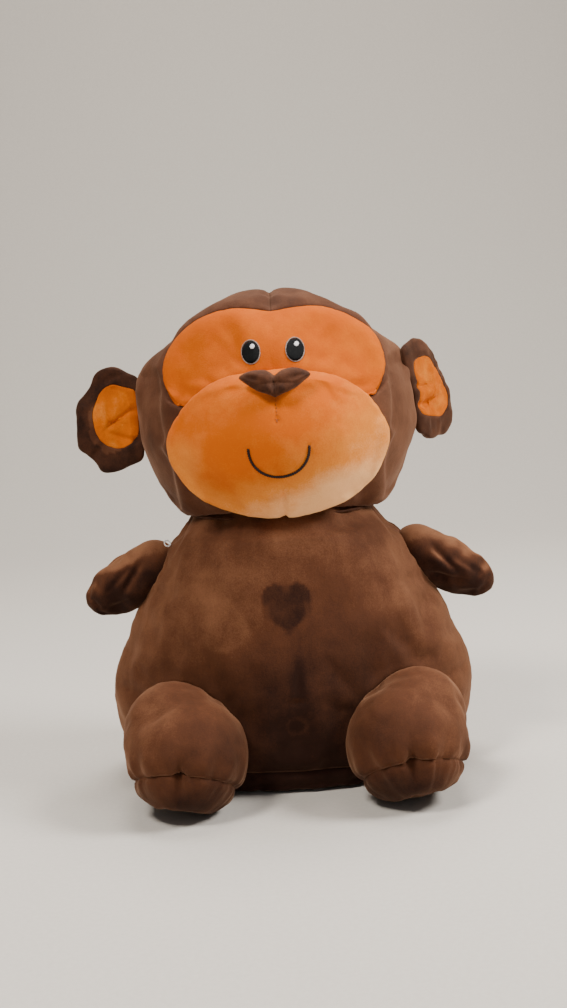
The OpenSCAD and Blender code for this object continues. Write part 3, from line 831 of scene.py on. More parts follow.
def muzzle_sheen_and_nap(co):
    """1 where the muzzle looks pale, -1 where it looks deep: painted sheen, partly also the pile's brushing,
    with the pile's own patches.
    """
    x, z = co[:, 0] / MUZZLE_A, (co[:, 2] - MUZZLE[1]) / MUZZLE_UP
    # Painted sheen: paler towards +X, along the bottom and at the lower -X edge, partly also the pile's
    # brushing.
    pale = smoothstep(-0.1, 0.9, 0.72 * x - 0.5 * z)
    low = smoothstep(-0.25, -0.9, z - 0.15 * x)
    left = 0.8 * smoothstep(0.62, 1.0, -x) * smoothstep(0.4, -0.1, z)
    patchy = 0.20 * wobble(co, 22, 31) + 0.12 * wobble(co, 8, 32)
    return -1.0 + 1.3 * pale + 0.9 * low + left + patchy


DART_X = 1.5     # the tuck in the muzzle's chin


def make_muzzle():
    skin = Skin("muzzle_skin", ["muzzle_cloth", "muzzle_lining"])
    around = np.linspace(0, 2 * math.pi, 121)
    skin.grid("muzzle_cloth", muzzle_front, around, steps(34))
    skin.grid("muzzle_lining", muzzle_rear, around, steps(8))
    muzzle = stuffed(skin, spare=0.05, cap=3.0, keep=0.25)
    lumps(muzzle, 0.9, 40, 33)
    seams = Seams(muzzle)
    sink_seams(muzzle, seams, depth=0.6, width=2, pucker=0.9, reach=11, size=7, seed=34)
    x, y, z = co_of(muzzle).T
    front = y < -HEAD_B
    chin_z = MUZZLE[1] - MUZZLE_DN
    dart = 2.2 * bell((x - DART_X) / 1.6) * smoothstep(chin_z + 26, chin_z + 6, z)
    fan = np.arctan2(x - DART_X, chin_z + 24 - z)
    near_dart = bell(np.hypot(x - DART_X, z - chin_z - 10) / 17)
    folds = 0.8 * np.cos(fan * 9 + 0.6) * near_dart
    lip = 0.55 * bell((x - 0) / 1.4) * smoothstep(297, 301, z) * smoothstep(317, 312, z)
    pull = 1.0 * bell(np.hypot(x, z - 298.5) / 2.6)
    smile = 0.7 * bell(mouth_distance(x, z) / 2.0)
    push(muzzle, -dart - folds - (lip + pull + smile) * front)
    return cut_panels(skin, muzzle_sheen_and_nap(co_of(muzzle)), ["muzzle_lining"])


def mouth_curve(t):
    """The smile at t from 0 to 1, as x and z."""
    a = math.pi * t
    return joined(-MOUTH_W * np.cos(a), MUZZLE[1] - MOUTH_D * np.sin(a) ** 0.9)


def mouth_distance(x, z):
    line = mouth_curve(steps(60))
    gaps = np.hypot(x[:, None] - line[None, :, 0], z[:, None] - line[None, :, 1])
    return gaps.min(1)

# ---- Ears -----------------------------------------------------------------------------

EAR_EDGE = 4.0
EAR_THICK = 6.0
EAR_MIDDLE = np.array([14.0, 0.0])
PATCH_LEVEL = 0.6     # share of the way out where an ear's rim begins, roughly
REST_FOLD = {1: 55.0, -1: 14.0}
# Each ear's edge, outward and up from its hinge, anticlockwise from the root's foot.
EAR_EDGES = {
    -1: [[-13, -20], [-11, -33], [-1, -37], [11, -42], [22, -43.5], [29, -42], [35, -34], [44, -26],
         [48, -20], [48, -8], [48, 6], [46, 17], [40, 24], [34.5, 31], [31, 39], [25, 45], [15, 47],
         [7, 46], [0, 43], [-12, 37], [-13, 20]],
    1: [[-13, -26], [-9, -36], [-2, -39], [7, -43], [17, -44], [34, -42], [44, -37], [50, -29],
        [50, -18], [47, -6], [41, 4], [33, 15], [25, 26], [15, 35], [4, 42], [-9, 45], [-22, 42],
        [-31, 36], [-30, 24], [-21, 8], [-15, -8]],
}
# The orange patches' edges, which run on into the head.
PATCH_EDGES = {
    -1: [[-9, -9], [-3, -16], [3, -20], [9, -21.5], [16, -20], [23, -16], [27.5, -9], [29, -3],
         [30, 7], [27.5, 16], [23, 24], [16, 30], [10, 31], [2, 29], [-6, 27], [-9, 22]],
    1: [[-9, -17], [-5, -21], [7, -22.5], [23, -24], [31, -21], [37, -14], [37, -6], [33, 2],
        [25, 11], [17, 19], [9, 25], [0, 27], [-9, 26], [-16, 22], [-14, 12], [-9, 0]],
}

# Creases in the ears' fronts: height above the hinge at the distance out from it, slope, depth,
# width, and the distances out where the crease begins and ends.
EAR_FOLDS = {
    -1: [(2, 14, -0.7, 2.8, 2.8, 32, 16), (-12, 14, 0.4, 2.6, 2.6, 30, 14),
         (40, 10, -0.45, 2.6, 2.6, 36, 20), (-30, 40, -0.8, 2.4, 2.4, 26, 38)],
    1: [(-13, 6, 0.2, 4.6, 2.4, 38, 22), (3, 8, 0.15, 2.8, 2.4, 24, 10)],
}


def closed_outline(points, angle):
    """The closed smooth outline through the points, along the rays from the ear's middle."""
    P = np.asarray(points, float)
    ring = np.concatenate([P[-1:], P, P[:2]])
    s = np.linspace(0, len(P), 600, endpoint=False)
    i = s.astype(int)
    after = ring[np.minimum(i + 3, len(ring) - 1)]
    away = between(ring[i], ring[i + 1], ring[i + 2], after, (s - i)[:, None]) - EAR_MIDDLE
    turn = np.arctan2(away[:, 1], away[:, 0])
    order = np.argsort(turn)
    reach = np.interp(angle, turn[order], np.linalg.norm(away, axis=1)[order], period=2 * math.pi)
    return EAR_MIDDLE + reach[..., None] * joined(np.cos(angle), np.sin(angle))


def ear_place(p, thick, side):
    """Puts a point of the ear's plane where the ear rests on the head."""
    fold = math.radians(REST_FOLD[side])
    hinge = EARS[side]
    out = p[..., 0] + EAR_EDGE
    x = abs(hinge[0]) + out * math.cos(fold) - thick * math.sin(fold)
    y = hinge[1] + out * math.sin(fold) + thick * math.cos(fold)
    return joined(side * x, y, hinge[2] + p[..., 1])


def ear_thickness(q):
    """Half thickness at the share q of the way from the ear's middle to its edge."""
    return EAR_THICK * np.sqrt(clamp(1 - q ** 2.6))


def make_ear(side, name):
    panels = [name + "_ear_patch_cloth", name + "_ear_rim_cloth", name + "_ear_back_cloth"]
    skin = Skin(name + "_ear_skin", panels)
    hinge = EARS[side]

    def edges(u):
        return closed_outline(PATCH_EDGES[side], u), closed_outline(EAR_EDGES[side], u)

    def share_at(u):
        """How far out the patch's edge is, as a share of the way to the ear's edge."""
        inner, outer = edges(u)
        inner_reach = np.linalg.norm(inner - EAR_MIDDLE, axis=-1)
        return np.minimum(inner_reach / np.linalg.norm(outer - EAR_MIDDLE, axis=-1), 0.97)

    def patch(u, v):
        inner, _ = edges(u)
        p = EAR_MIDDLE + (inner - EAR_MIDDLE) * v[..., None]
        dish = 3.0 * clamp(1 - v ** 2)
        return ear_place(p, dish - ear_thickness(v * share_at(u)), side)

    def rim(u, v):
        inner, outer = edges(u)
        q = lerp(share_at(u), 1, v)
        return ear_place(lerp(inner, outer, v[..., None]), -ear_thickness(q), side)

    def back(u, v):
        _, outer = edges(u)
        return ear_place(EAR_MIDDLE + (outer - EAR_MIDDLE) * v[..., None], ear_thickness(v), side)

    around = np.linspace(0, 2 * math.pi, 89)
    skin.grid(panels[0], patch, around, steps(11))
    skin.grid(panels[1], rim, around, steps(8) ** 0.8)
    skin.grid(panels[2], back, around, steps(17) ** 0.85)

    def outward(co):
        return np.hypot(np.abs(co[:, 0]) - abs(hinge[0]), co[:, 1] - hinge[1])

    def at_root(co):
        return (np.abs(co[:, 0]) < abs(hinge[0]) + 1) | (outward(co) < 5)

    def edge_share(at):
        """How far out a point is, from 0 at the ear's middle to 1 at its edge."""
        fold = math.radians(REST_FOLD[side])
        away = (np.abs(at[:, 0]) - abs(hinge[0])) * math.cos(fold) + (at[:, 1] - hinge[1]) * math.sin(fold)
        flat = joined(away - EAR_EDGE, at[:, 2] - hinge[2]) - EAR_MIDDLE
        rim_at = closed_outline(EAR_EDGES[side], np.arctan2(flat[:, 1], flat[:, 0])) - EAR_MIDDLE
        return np.linalg.norm(flat, axis=1) / np.linalg.norm(rim_at, axis=1)

    ear = stuffed(skin, spare=0.06, pressure=3.0, cap=2.6, held=at_root, keep=0.3)
    co = co_of(ear)
    lift = co[:, 2] - hinge[2]
    out = outward(co)
    crease = 0
    for height, middle, slope, depth, width, near, far in EAR_FOLDS[side]:
        line = lift - height - slope * (out - middle)
        crease = crease + depth * bell(line / width) * smoothstep(near, far, out)
    outer_edge = Seams(ear, lambda at: edge_share(at) > 0.9)
    inside = smoothstep(2, 9, outer_edge.distance)
    push(ear, -crease * inside * (normals_of(ear)[:, 1] < 0))
    lumps(ear, 1.2, 20, 41 + side)
    seams = Seams(ear)
    sink_seams(ear, seams, depth=0.9, width=1.6, pucker=0.6, reach=6, size=7, seed=44 + side,
               mask=lambda at: inside)
    co = smoothed(ear, co_of(ear), 3)
    set_co(ear, co)
    nap = 0.4 * wobble(co, 18, 45) + 0.2 * wobble(co, 7, 46)
    # Painted shade: each ear's outer part is darkened, the right ear's more.
    nap += (0.75 if side < 0 else 0.3) * (edge_share(co) > PATCH_LEVEL)
    return cut_panels(skin, nap)


# ---- Arms -----------------------------------------------------------------------------


def arm_station(v, length):
    return lerp(-ARM_R, length, (1 - np.cos(math.pi * v)) / 2)


def arm_half(x, length):
    """The arm's half height along its length: a ball at the root, a fuller paw."""
    root = np.sqrt(np.maximum(0, ARM_R ** 2 - x * x))
    t = clamp(x / length)
    paw = ARM_R * np.sqrt(clamp(1 - t ** 3.8)) * (1 + 0.05 * np.sin(math.pi * t) ** 2)
    return np.where(x < 0, root, paw)


def make_arm(side, name):
    panels = [name + "_arm_front_cloth", name + "_arm_back_cloth"]
    skin = Skin(name + "_arm_skin", panels)
    slope = math.radians(ARM_DROOP)
    length = ARM_LEN[side]

    def place(x, y, z):
        out = ARM[0] + x * math.cos(slope) + z * math.sin(slope)
        up = ARM[2] - x * math.sin(slope) + z * math.cos(slope)
        return joined(side * out, ARM[1] + y, up)

    def cover(u, v):
        x = arm_station(v, length)
        wide = arm_half(x, length)
        deep = wide * lerp(1, 0.78, clamp(x / length))
        curl = -2.5 * clamp(x / length) ** 2
        return place(x, deep * np.sin(u) + curl, wide * np.cos(u))

    along = steps(36)
    turn = np.linspace(math.pi, 2 * math.pi, 25)
    skin.grid(panels[0], cover, turn, along)
    skin.grid(panels[1], cover, turn - math.pi, along)
    root = at_side(ARM, side)
    tip = at_side(ARM + length * np.array([math.cos(slope), 0, -math.sin(slope)]), side)

    def held(co):
        return (apart(co, tip) < 11) | (apart(co, root) < ARM_R + 1.5)

    def free(co):
        return smoothstep(ARM_R - 1, ARM_R + 9, apart(co, root))

    arm = stuffed(skin, spare=0.07, cap=3.2, held=held, keep=0.3)
    lumps(arm, 1.1, 24, 51 + side, free)
    away = at_side(co_of(arm) - root, side)
    along_arm = away[:, 0] * math.cos(slope) - away[:, 2] * math.sin(slope)
    up_arm = away[:, 0] * math.sin(slope) + away[:, 2] * math.cos(slope)
    folds = 0
    for low, height, tilt, depth, width in ARM_FOLDS[side]:
        line = up_arm - height - tilt * (along_arm - 30)
        reach = smoothstep(low, low + 8, along_arm) * smoothstep(low + 40, low + 22, along_arm)
        folds = folds + depth * bell(line / width) * reach
    push(arm, -folds * (away[:, 1] < 2))
    seams = Seams(arm)
    sink_seams(arm, seams, depth=1.0, width=1.9, pucker=0.6, reach=6, size=6, seed=54 + side, mask=free)
    co = smoothed(arm, co_of(arm), 2)
    set_co(arm, co)
    nap = 0.35 * wobble(co, 20, 55 + side) + 0.15 * wobble(co, 8, 57)
    turned = normals_of(arm)
    # Painted shade and light: darker the less the arm faces up, lighter where it faces up.
    nap += 0.95 * smoothstep(0.85, -0.2, turned[:, 2]) - 0.1
    nap -= 0.8 * smoothstep(0.3, 0.9, turned[:, 2])
    return cut_panels(skin, nap)


# Folds in the arms' fronts: where each starts along the arm, its height, slope, depth and width.
ARM_FOLDS = {
    1: [(4, 2, -0.35, 3.2, 2.6), (14, -9, 0.25, 2.2, 2.4), (22, 9, -0.1, 1.3, 2.6)],
    -1: [(2, -3, -0.5, 3.6, 2.8), (10, 7, -0.3, 2.2, 2.4), (20, -12, 0.1, 1.6, 2.4)],
}

# ---- Legs -----------------------------------------------------------------------------

SOLE_SHARE = 0.225
LEG_PINCH = {1: -8.0, -1: -4.0}      # degrees round the sole from the toe to the pinch


def tilted(e, degrees):
    """Directions turned about X."""
    c, s = math.cos(math.radians(degrees)), math.sin(math.radians(degrees))
    return joined(e[..., 0], c * e[..., 1] - s * e[..., 2], s * e[..., 1] + c * e[..., 2])


def make_leg(side, name):
    panels = [name + "_leg_cloth", name + "_sole_cloth"]
    skin = Skin(name + "_leg_skin", panels)

    def reach(e):
        far = 0.0
        for middle, radius in leg_balls(9):
            b = e @ middle
            q = b * b - middle @ middle + radius ** 2
            far = np.maximum(far, np.where(q > 0, b + np.sqrt(np.maximum(q, 0)), 0))
        return far

    def shape(start, stop):
        def f(u, v):
            t = math.pi * lerp(start, stop, v)
            e = joined(np.cos(u) * np.sin(t), np.sin(u) * np.sin(t), -np.cos(t))
            e = tilted(e, LEG_TILT)
            return at_side(LEG + e * reach(e)[..., None], side)
        return f

    around = np.linspace(0, 2 * math.pi, 85)
    skin.grid(panels[0], shape(SOLE_SHARE, 1), around, steps(38))
    skin.grid(panels[1], shape(0, SOLE_SHARE), around, steps(14))
    centre = at_side(LEG, side)
    into_body = unit([-0.25 * side, 0.9, 0.35])

    def held(co):
        return (co - centre) @ into_body > 12

    def free(co):
        return smoothstep(20, -2, (co - centre) @ into_body)

    leg = stuffed(skin, spare=0.055, cap=3.5, held=held, keep=0.3)
    lumps(leg, 1.2, 36, 61 + side, free)
    lumps(leg, 0.4, 14, 63 + side, free)
    e = tilted(unit(at_side(co_of(leg) - centre, side)), -LEG_TILT)
    round_sole = np.degrees(np.arctan2(e[:, 0], -e[:, 1]))
    above = np.degrees(np.arccos(-e[:, 2])) - 180 * SOLE_SHARE
    pinch = round_sole - LEG_PINCH[side]
    dent = 7.5 * bell(pinch / 3.8, above / 9)
    lobes = 2.0 * bell((np.abs(pinch) - 13) / 8, (above - 7) / 7)
    rays = 1.6 * np.cos(np.radians(pinch) * 17 + 0.8 * side) * bell((above - 8) / 9)
    rays *= smoothstep(75, 20, np.abs(pinch))
    slant = np.radians(above * 3.2 + round_sole * 5.2)
    side_folds = 2.2 * np.cos(slant) * bell((round_sole - 52) / 20, (above - 22) / 20)
    push(leg, (lobes + rays + side_folds - dent) * free(co_of(leg)))
    seams = Seams(leg)
    sink_seams(leg, seams, depth=2.0, width=2.1, pucker=2.0, reach=10, size=6.5, seed=65 + side, mask=free)
    co = co_of(leg)
    co[:, 2] = np.maximum(co[:, 2], 0.3)
    set_co(leg, co)
    nap = 0.22 * wobble(co, 34, 67 + side) + 0.14 * wobble(co, 13, 69)
    # Painted shade and light: darker on the leg's inner side and near the floor, lighter on top.
    nap += 0.3 * smoothstep(-20, 20, (co - centre)[:, 0] * -side)
    nap += 0.65 * smoothstep(46, 14, co[:, 2]) - 0.2 * smoothstep(60, 92, co[:, 2])
    return cut_panels(skin, nap)


# ---- Nose, eyes and stitches ----------------------------------------------------------


def front_y(p):
    """The front of the muzzle, or of the face beyond it, at p = (x, z)."""
    m = p - MUZZLE
    rise = np.where(m[..., 1] > 0, MUZZLE_UP, MUZZLE_DN)
    q = np.hypot(m[..., 0] / MUZZLE_A, m[..., 1] / rise) * math.sin(MUZZLE_ROLL)
    turn = np.arcsin(clamp(q))
    seat = MUZZLE + m * np.minimum(1, math.sin(MUZZLE_ROLL) / np.maximum(q, 1e-3))[..., None]
    swollen = face_y(seat[..., 0], seat[..., 1]) - MUZZLE_OUT * muzzle_drop(turn)
    plain = face_y(p[..., 0], p[..., 1])
    return np.where(q < 1, np.minimum(plain, swollen), plain)


def brow_y(p):
    """The depth that the nose is seated at: it stands on above the muzzle's brow."""
    m = p - MUZZLE
    q = np.hypot(m[..., 0] / MUZZLE_A, m[..., 1] / MUZZLE_UP)
    return front_y(MUZZLE + m * np.minimum(1, 0.93 / np.maximum(q, 1e-3))[..., None])


def nose_outline(u):
    t = u / math.pi
    right = spline(NOSE, np.where(t < 1, t, 2 - t))
    return joined(np.where(t < 1, right[..., 0], -right[..., 0]), right[..., 1])


def make_nose():
    skin = Skin("nose_skin", ["nose_cloth", "nose_lining"])

    def cover(u, v):
        edge = nose_outline(u)
        p = edge * v[..., None]
        x, z = p[..., 0], p[..., 1]
        swell = NOSE_OUT * clamp(1 - v ** 2.3) ** 0.5
        crease = 5.5 * bell(x / 2.6) * (1 - 0.35 * clamp(v))
        corner = 2.6 * bell((np.abs(x) - 17) / 5, (z - 1.5 - 0.2 * np.abs(x)) / 2.2)
        lift = np.maximum(swell - crease - corner, 0.2)
        place = p + [0, NOSE_Z]
        return joined(x, brow_y(place) - NOSE_SEAT - lift, place[..., 1])

    def lining(u, v):
        place = nose_outline(u) * v[..., None] + [0, NOSE_Z]
        return joined(place[..., 0], brow_y(place) - NOSE_SEAT + 0.7 * (1 - v), place[..., 1])

    around = np.linspace(0, 2 * math.pi, 97)
    skin.grid("nose_cloth", cover, around, steps(15) ** 0.85)
    skin.grid("nose_lining", lining, around, steps(8))
    skin.sew()
    finer(skin.obj)
    lumps(skin.obj, 0.6, 12, 71)
    co = co_of(skin.obj)
    return cut_panels(skin, 0.35 + 0.4 * wobble(co, 14, 72) + 0.3 * wobble(co, 5, 73), ["nose_lining"])


THREAD_SIDE = [0.05, -1, 0.03]     # a way that no thread runs along


def tube(paths, radius, sides):
    """One mesh with a round thread along each path. Radius may be one value a point."""
    points, faces = [], []
    for path in paths:
        path = np.asarray(path, float)
        n = len(path)
        size = np.broadcast_to(radius, (n,)).copy()
        size[[0, -1]] *= 0.45
        along = unit(np.gradient(path, axis=0))
        across = unit(np.cross(along, THREAD_SIDE))
        other = np.cross(along, across)
        start = len(points)
        for i in range(n):
            for k in range(sides):
                a = 2 * math.pi * k / sides
                points.append(path[i] + size[i] * (math.cos(a) * across[i] + math.sin(a) * other[i]))
        for i in range(n - 1):
            for k in range(sides):
                a = start + i * sides + k
                b = start + i * sides + (k + 1) % sides
                faces.append((a, b, b + sides, a + sides))
        faces.append(tuple(start + k for k in reversed(range(sides))))
        faces.append(tuple(start + (n - 1) * sides + k for k in range(sides)))
    return points, faces


def mesh_piece(name, points, faces):
    mesh = bpy.data.meshes.new(name)
    mesh.from_pydata(np.array(points) * MM, [], faces)
    mesh.polygons.foreach_set("use_smooth", [True] * len(faces))
    mesh.validate()
    return link_new(name, mesh)


class Relief:
    """The finished front of a piece of cloth: its depth at any place, stuffed as it is."""

    def __init__(self, piece, depth):
        co = co_of(piece)
        co = co[normals_of(piece)[:, 1] < -0.3]
        self.depth = depth
        self.off = co[:, 1] - depth(co[:, [0, 2]])
        self.tree = tree_of(co * [1, 0, 1])

    def at(self, x, z, lift):
        """The points `lift` in front of the cloth."""
        x, z, lift = np.broadcast_arrays(x, z, lift)
        found = [self.tree.find_n((a, 0, b), 8) for a, b in zip(x.ravel(), z.ravel())]
        near = np.array([[k for _, k, _ in each] for each in found])
        share = 1 / (np.array([[d for _, _, d in each] for each in found]) ** 2 + 0.5)
        off = (np.sum(self.off[near] * share, 1) / share.sum(1)).reshape(x.shape)
        return joined(x, self.depth(joined(x, z)) + off - lift, z)


STITCH = 0.55         # spacing of satin stitches


def satin(name, cloth, centre, size, low, high, lean=0.15):
    """A satin-stitched oval: threads side by side, each bowed out over a padded middle."""
    paths = []
    count = int(2 * size[0] / STITCH)
    for k in range(count + 1):
        x = lerp(-0.97, 0.97, k / count)
        half = math.sqrt(1 - x * x) * size[1]
        t = np.linspace(-1, 1, 13)
        bow = low + (high - low) * (1 - x * x) * (1 - t ** 4)
        paths.append(cloth.at(centre[0] + x * size[0] + lean * t, centre[1] + half * t, bow))
    return mesh_piece(name, *tube(paths, STITCH * 0.62, 6))


def ring_stitch(name, cloth, centre, size, lift, radius):
    a = np.linspace(0, 2 * math.pi, 61)
    path = cloth.at(centre[0] + size[0] * np.cos(a), centre[1] + size[1] * np.sin(a), lift)
    return mesh_piece(name, *tube([path], radius * (1 + 0.12 * np.cos(a * 15)), 7))


def rope(path, radius, pitch):
    """Two strands laid round each other along a path."""
    path = np.asarray(path, float)
    length = np.concatenate([[0], np.cumsum(np.linalg.norm(np.diff(path, axis=0), axis=1))])
    fine = np.linspace(0, length[-1], int(length[-1] / 0.35))
    middle = np.stack([np.interp(fine, length, path[:, k]) for k in range(3)], -1)
    along = unit(np.gradient(middle, axis=0))
    across = unit(np.cross(along, THREAD_SIDE))
    other = np.cross(along, across)
    strands = []
    for start in (0, math.pi):
        a = 2 * math.pi * fine / pitch + start
        strands.append(middle + radius * 0.6 * (np.cos(a)[:, None] * across + np.sin(a)[:, None] * other))
    return strands


def make_mouth(cloth):
    p = mouth_curve(steps(80))
    path = cloth.at(p[:, 0], p[:, 1], 0.6)
    return mesh_piece("mouth_rope", *tube(rope(path, 0.95, 3.6), 0.62, 7))


def make_philtrum(cloth):
    """A row of small running stitches that ends in one pulled tight."""
    paths = []
    for k in range(6):
        z = steps(6) * 1.7 + 301.5 + 2.5 * k
        x = 0.12 * (-1) ** k + 0 * z
        bow = 0.35 * np.sin(math.pi * steps(6))
        paths.append(cloth.at(x, z, bow - 0.05))
    for k, (dx, dz) in enumerate([(-1.6, 0.5), (1.7, 0.2), (0.1, -2.2), (-0.9, -1.5)]):
        t = steps(6)
        x, z = dx * t, 298.6 + dz * t
        paths.append(cloth.at(x, z, 0.3 * t))
    return mesh_piece("philtrum_thread", *tube(paths, 0.32, 6))

# ---- Materials ------------------------------------------------------------------------


class Nodes:
    """Short names for building a material's node tree."""

    def __init__(self, name):
        self.material = bpy.data.materials.new(name)
        self.material.use_nodes = True
        self.tree = self.material.node_tree
        self.shader = self.tree.nodes["Principled BSDF"]
        self.place = self.add("ShaderNodeTexCoord").outputs["Object"]

    def add(self, kind, **settings):
        node = self.tree.nodes.new(kind)
        for key, value in settings.items():
            setattr(node, key, value)
        return node

    def link(self, source, target):
        self.tree.links.new(source, target)

    def fill(self, node, **sockets):
        """Sets or links a node's inputs. A socket's name is written with _ for its spaces."""
        for name, value in sockets.items():
            socket = node.inputs[name.replace("_", " ")]
            if isinstance(value, bpy.types.NodeSocket):
                self.link(value, socket)
            else:
                socket.default_value = value
        return node

    def noise(self, size, detail, rough, stretch=None, distort=0.0):
        """Noise with bumps about `size` metres across."""
        where = self.place
        if stretch is not None:
            where = self.fill(self.add("ShaderNodeMapping"), Scale=stretch, Vector=where).outputs["Vector"]
        node = self.fill(self.add("ShaderNodeTexNoise"), Scale=1 / size, Detail=detail, Roughness=rough,
                         Distortion=distort, Vector=where)
        return node.outputs["Fac"]

    def math(self, operation, a, b=None, c=None):
        node = self.add("ShaderNodeMath", operation=operation)
        for socket, value in zip(node.inputs, (a, b, c)):
            if value is None:
                continue
            if isinstance(value, (int, float)):
                socket.default_value = value
            else:
                self.link(value, socket)
        return node.outputs[0]

    def weighed(self, parts, offset=0.0):
        """offset plus the sum of weight times value."""
        total = offset
        for value, weight in parts:
            total = self.math("MULTIPLY_ADD", value, weight, total)
        return total

    def colour(self, factor, stops):
        """The piece's colour, from a ramp along the factor."""
        node = self.add("ShaderNodeValToRGB")
        elements = node.color_ramp.elements
        while len(elements) < len(stops):
            elements.new(0.5)
        for element, (at, colour) in zip(elements, stops):
            element.position = at
            element.color = (*colour, 1)
        self.link(factor, node.inputs["Fac"])
        self.link(node.outputs["Color"], self.shader.inputs["Base Color"])

    def bump(self, layers):
        """layers: (height, strength, distance in metres), the broadest first."""
        normal = None
        for height, strength, distance in layers:
            node = self.fill(self.add("ShaderNodeBump"), Strength=strength, Distance=distance, Height=height)
            if normal is not None:
                self.link(normal, node.inputs["Normal"])
            normal = node.outputs["Normal"]
        self.link(normal, self.shader.inputs["Normal"])

    def finish(self, **sockets):
        self.fill(self.shader, **sockets)
        return self.material


def velvet(name, deep, middle, pale, sheen, tint, mottle=1.0, nap=0.25, shine=0.22):
    """Short pile: its colour turns with the way it's brushed and with painted light and shade, and its edge
    catches the light.
    """
    n = Nodes(name)
    brushed_and_shaded = n.add("ShaderNodeAttribute", attribute_name="nap").outputs["Fac"]
    broad = n.noise(0.045, 3, 0.55, distort=0.6)
    strokes = n.noise(0.016, 3, 0.6, stretch=(1.3, 1.3, 0.55), distort=0.8)
    flecks = n.noise(0.0045, 3, 0.65)
    pile = n.noise(0.0011, 2, 0.6)
    tone = n.weighed([
        (brushed_and_shaded, -nap),
        (broad, 0.30 * mottle), (strokes, 0.34 * mottle),
        (flecks, 0.26 * mottle), (pile, 0.30),
    ], 0.5 - 0.45 * mottle - 0.15)
    n.colour(tone, [(0.08, deep), (0.5, middle), (0.92, pale)])
    n.bump([
        (strokes, 0.25, 0.0012), (flecks, 0.30, 0.0006), (pile, 0.45, 0.0004),
    ])
    return n.finish(Roughness=n.math("MULTIPLY_ADD", pile, 0.18, 0.72), Sheen_Weight=sheen,
                    Sheen_Roughness=0.42, Sheen_Tint=(*tint, 1), Specular_IOR_Level=shine)


def thread_material(name, deep, pale, gloss, shine=0.3):
    """Twisted embroidery thread: fine fibres, brighter where they rise."""
    n = Nodes(name)
    fibre = n.noise(0.00035, 3, 0.6, stretch=(1, 1, 0.35))
    tone = n.noise(0.0022, 2, 0.5)
    mixed = n.weighed([(fibre, 0.6), (tone, 0.5)], -0.05)
    n.colour(mixed, [(0.25, deep), (0.75, pale)])
    n.bump([(tone, 0.3, 0.0003), (fibre, 0.5, 0.0002)])
    return n.finish(Roughness=gloss, Specular_IOR_Level=shine)


def fastener_material():
    n = Nodes("clear_fastener")
    haze = n.noise(0.0012, 3, 0.6)
    n.colour(haze, [(0.3, (0.72, 0.73, 0.72)), (0.7, (0.88, 0.88, 0.86))])
    n.bump([(haze, 0.12, 0.0001)])
    return n.finish(Roughness=0.28, Transmission_Weight=0.25, IOR=1.47)


THREADS_A_METRE = 520     # scale of the ribbon's weave


def ribbon_material():
    n = Nodes("woven_ribbon")
    warp = n.add("ShaderNodeTexWave", wave_type="BANDS", bands_direction="X")
    weft = n.add("ShaderNodeTexWave", wave_type="BANDS", bands_direction="Y")
    for wave in (warp, weft):
        n.fill(wave, Scale=THREADS_A_METRE, Vector=n.place)
    weave = n.math("MULTIPLY", warp.outputs["Fac"], weft.outputs["Fac"])
    cloud = n.noise(0.004, 2, 0.5)
    tone = n.weighed([(weave, 0.4), (cloud, 0.5)], 0.1)
    n.colour(tone, [(0.2, (0.66, 0.65, 0.62)), (0.8, (0.86, 0.86, 0.84))])
    n.bump([(weave, 0.4, 0.0002)])
    return n.finish(Roughness=0.6, Sheen_Weight=0.2)


def floor_material():
    n = Nodes("studio_floor")
    grain = n.noise(0.004, 4, 0.6)
    n.colour(grain, [(0.3, (0.60, 0.56, 0.51)), (0.7, (0.64, 0.60, 0.55))])
    return n.finish(Roughness=0.9, Specular_IOR_Level=0.2)


BROWN = velvet(
    "brown_velvet_cloth", (0.018, 0.0046, 0.0019), (0.083, 0.0272, 0.0108), (0.215, 0.090, 0.042),
    0.26, (0.85, 0.46, 0.26), mottle=0.55, nap=0.44, shine=0.15)
HEAD_BROWN = velvet(
    "head_velvet_cloth", (0.014, 0.0040, 0.0018), (0.076, 0.0255, 0.0110), (0.150, 0.062, 0.031),
    0.22, (0.85, 0.50, 0.32), mottle=0.65, nap=0.40, shine=0.15)
ORANGE = velvet(
    "orange_velvet_cloth", (0.36, 0.054, 0.0006), (0.48, 0.088, 0.0018), (0.61, 0.150, 0.008),
    0.05, (1.0, 0.50, 0.15), mottle=0.7, shine=0.06)
PEACH = velvet(
    "peach_velvet_cloth", (0.56, 0.104, 0.0010), (0.73, 0.232, 0.030), (0.95, 0.50, 0.22),
    0.12, (1.0, 0.70, 0.42), mottle=0.4, nap=-0.42, shine=0.08)
EAR_ORANGE = velvet(
    "ear_velvet_cloth", (0.36, 0.060, 0.0005), (0.54, 0.115, 0.0018), (0.78, 0.28, 0.040),
    0.06, (1.0, 0.58, 0.20), mottle=0.9, shine=0.08)
BLACK_THREAD = thread_material("black_embroidery", (0.001, 0.0012, 0.0016), (0.005, 0.006, 0.007), 0.6, 0.12)
WHITE_THREAD = thread_material("white_embroidery", (0.80, 0.80, 0.82), (0.95, 0.95, 0.96), 0.5)
PALE_THREAD = thread_material("outline_embroidery", (0.16, 0.12, 0.10), (0.34, 0.28, 0.24), 0.6)
MOUTH_THREAD = thread_material("mouth_embroidery", (0.003, 0.0015, 0.001), (0.028, 0.012, 0.007), 0.6)
RUST_THREAD = thread_material("rust_thread", (0.26, 0.055, 0.006), (0.44, 0.12, 0.02), 0.6)
SEAM_THREAD = thread_material("seam_thread", (0.014, 0.006, 0.003), (0.050, 0.022, 0.011), 0.65)

# ---- Chin and neck --------------------------------------------------------------------


CHIN_ENDS = np.radians([195, 345])     # round the muzzle, counted from the monkey's left
CHIN_SET = [0, 1.2, 0.6]               # how far behind and above the muzzle's own seam it lies
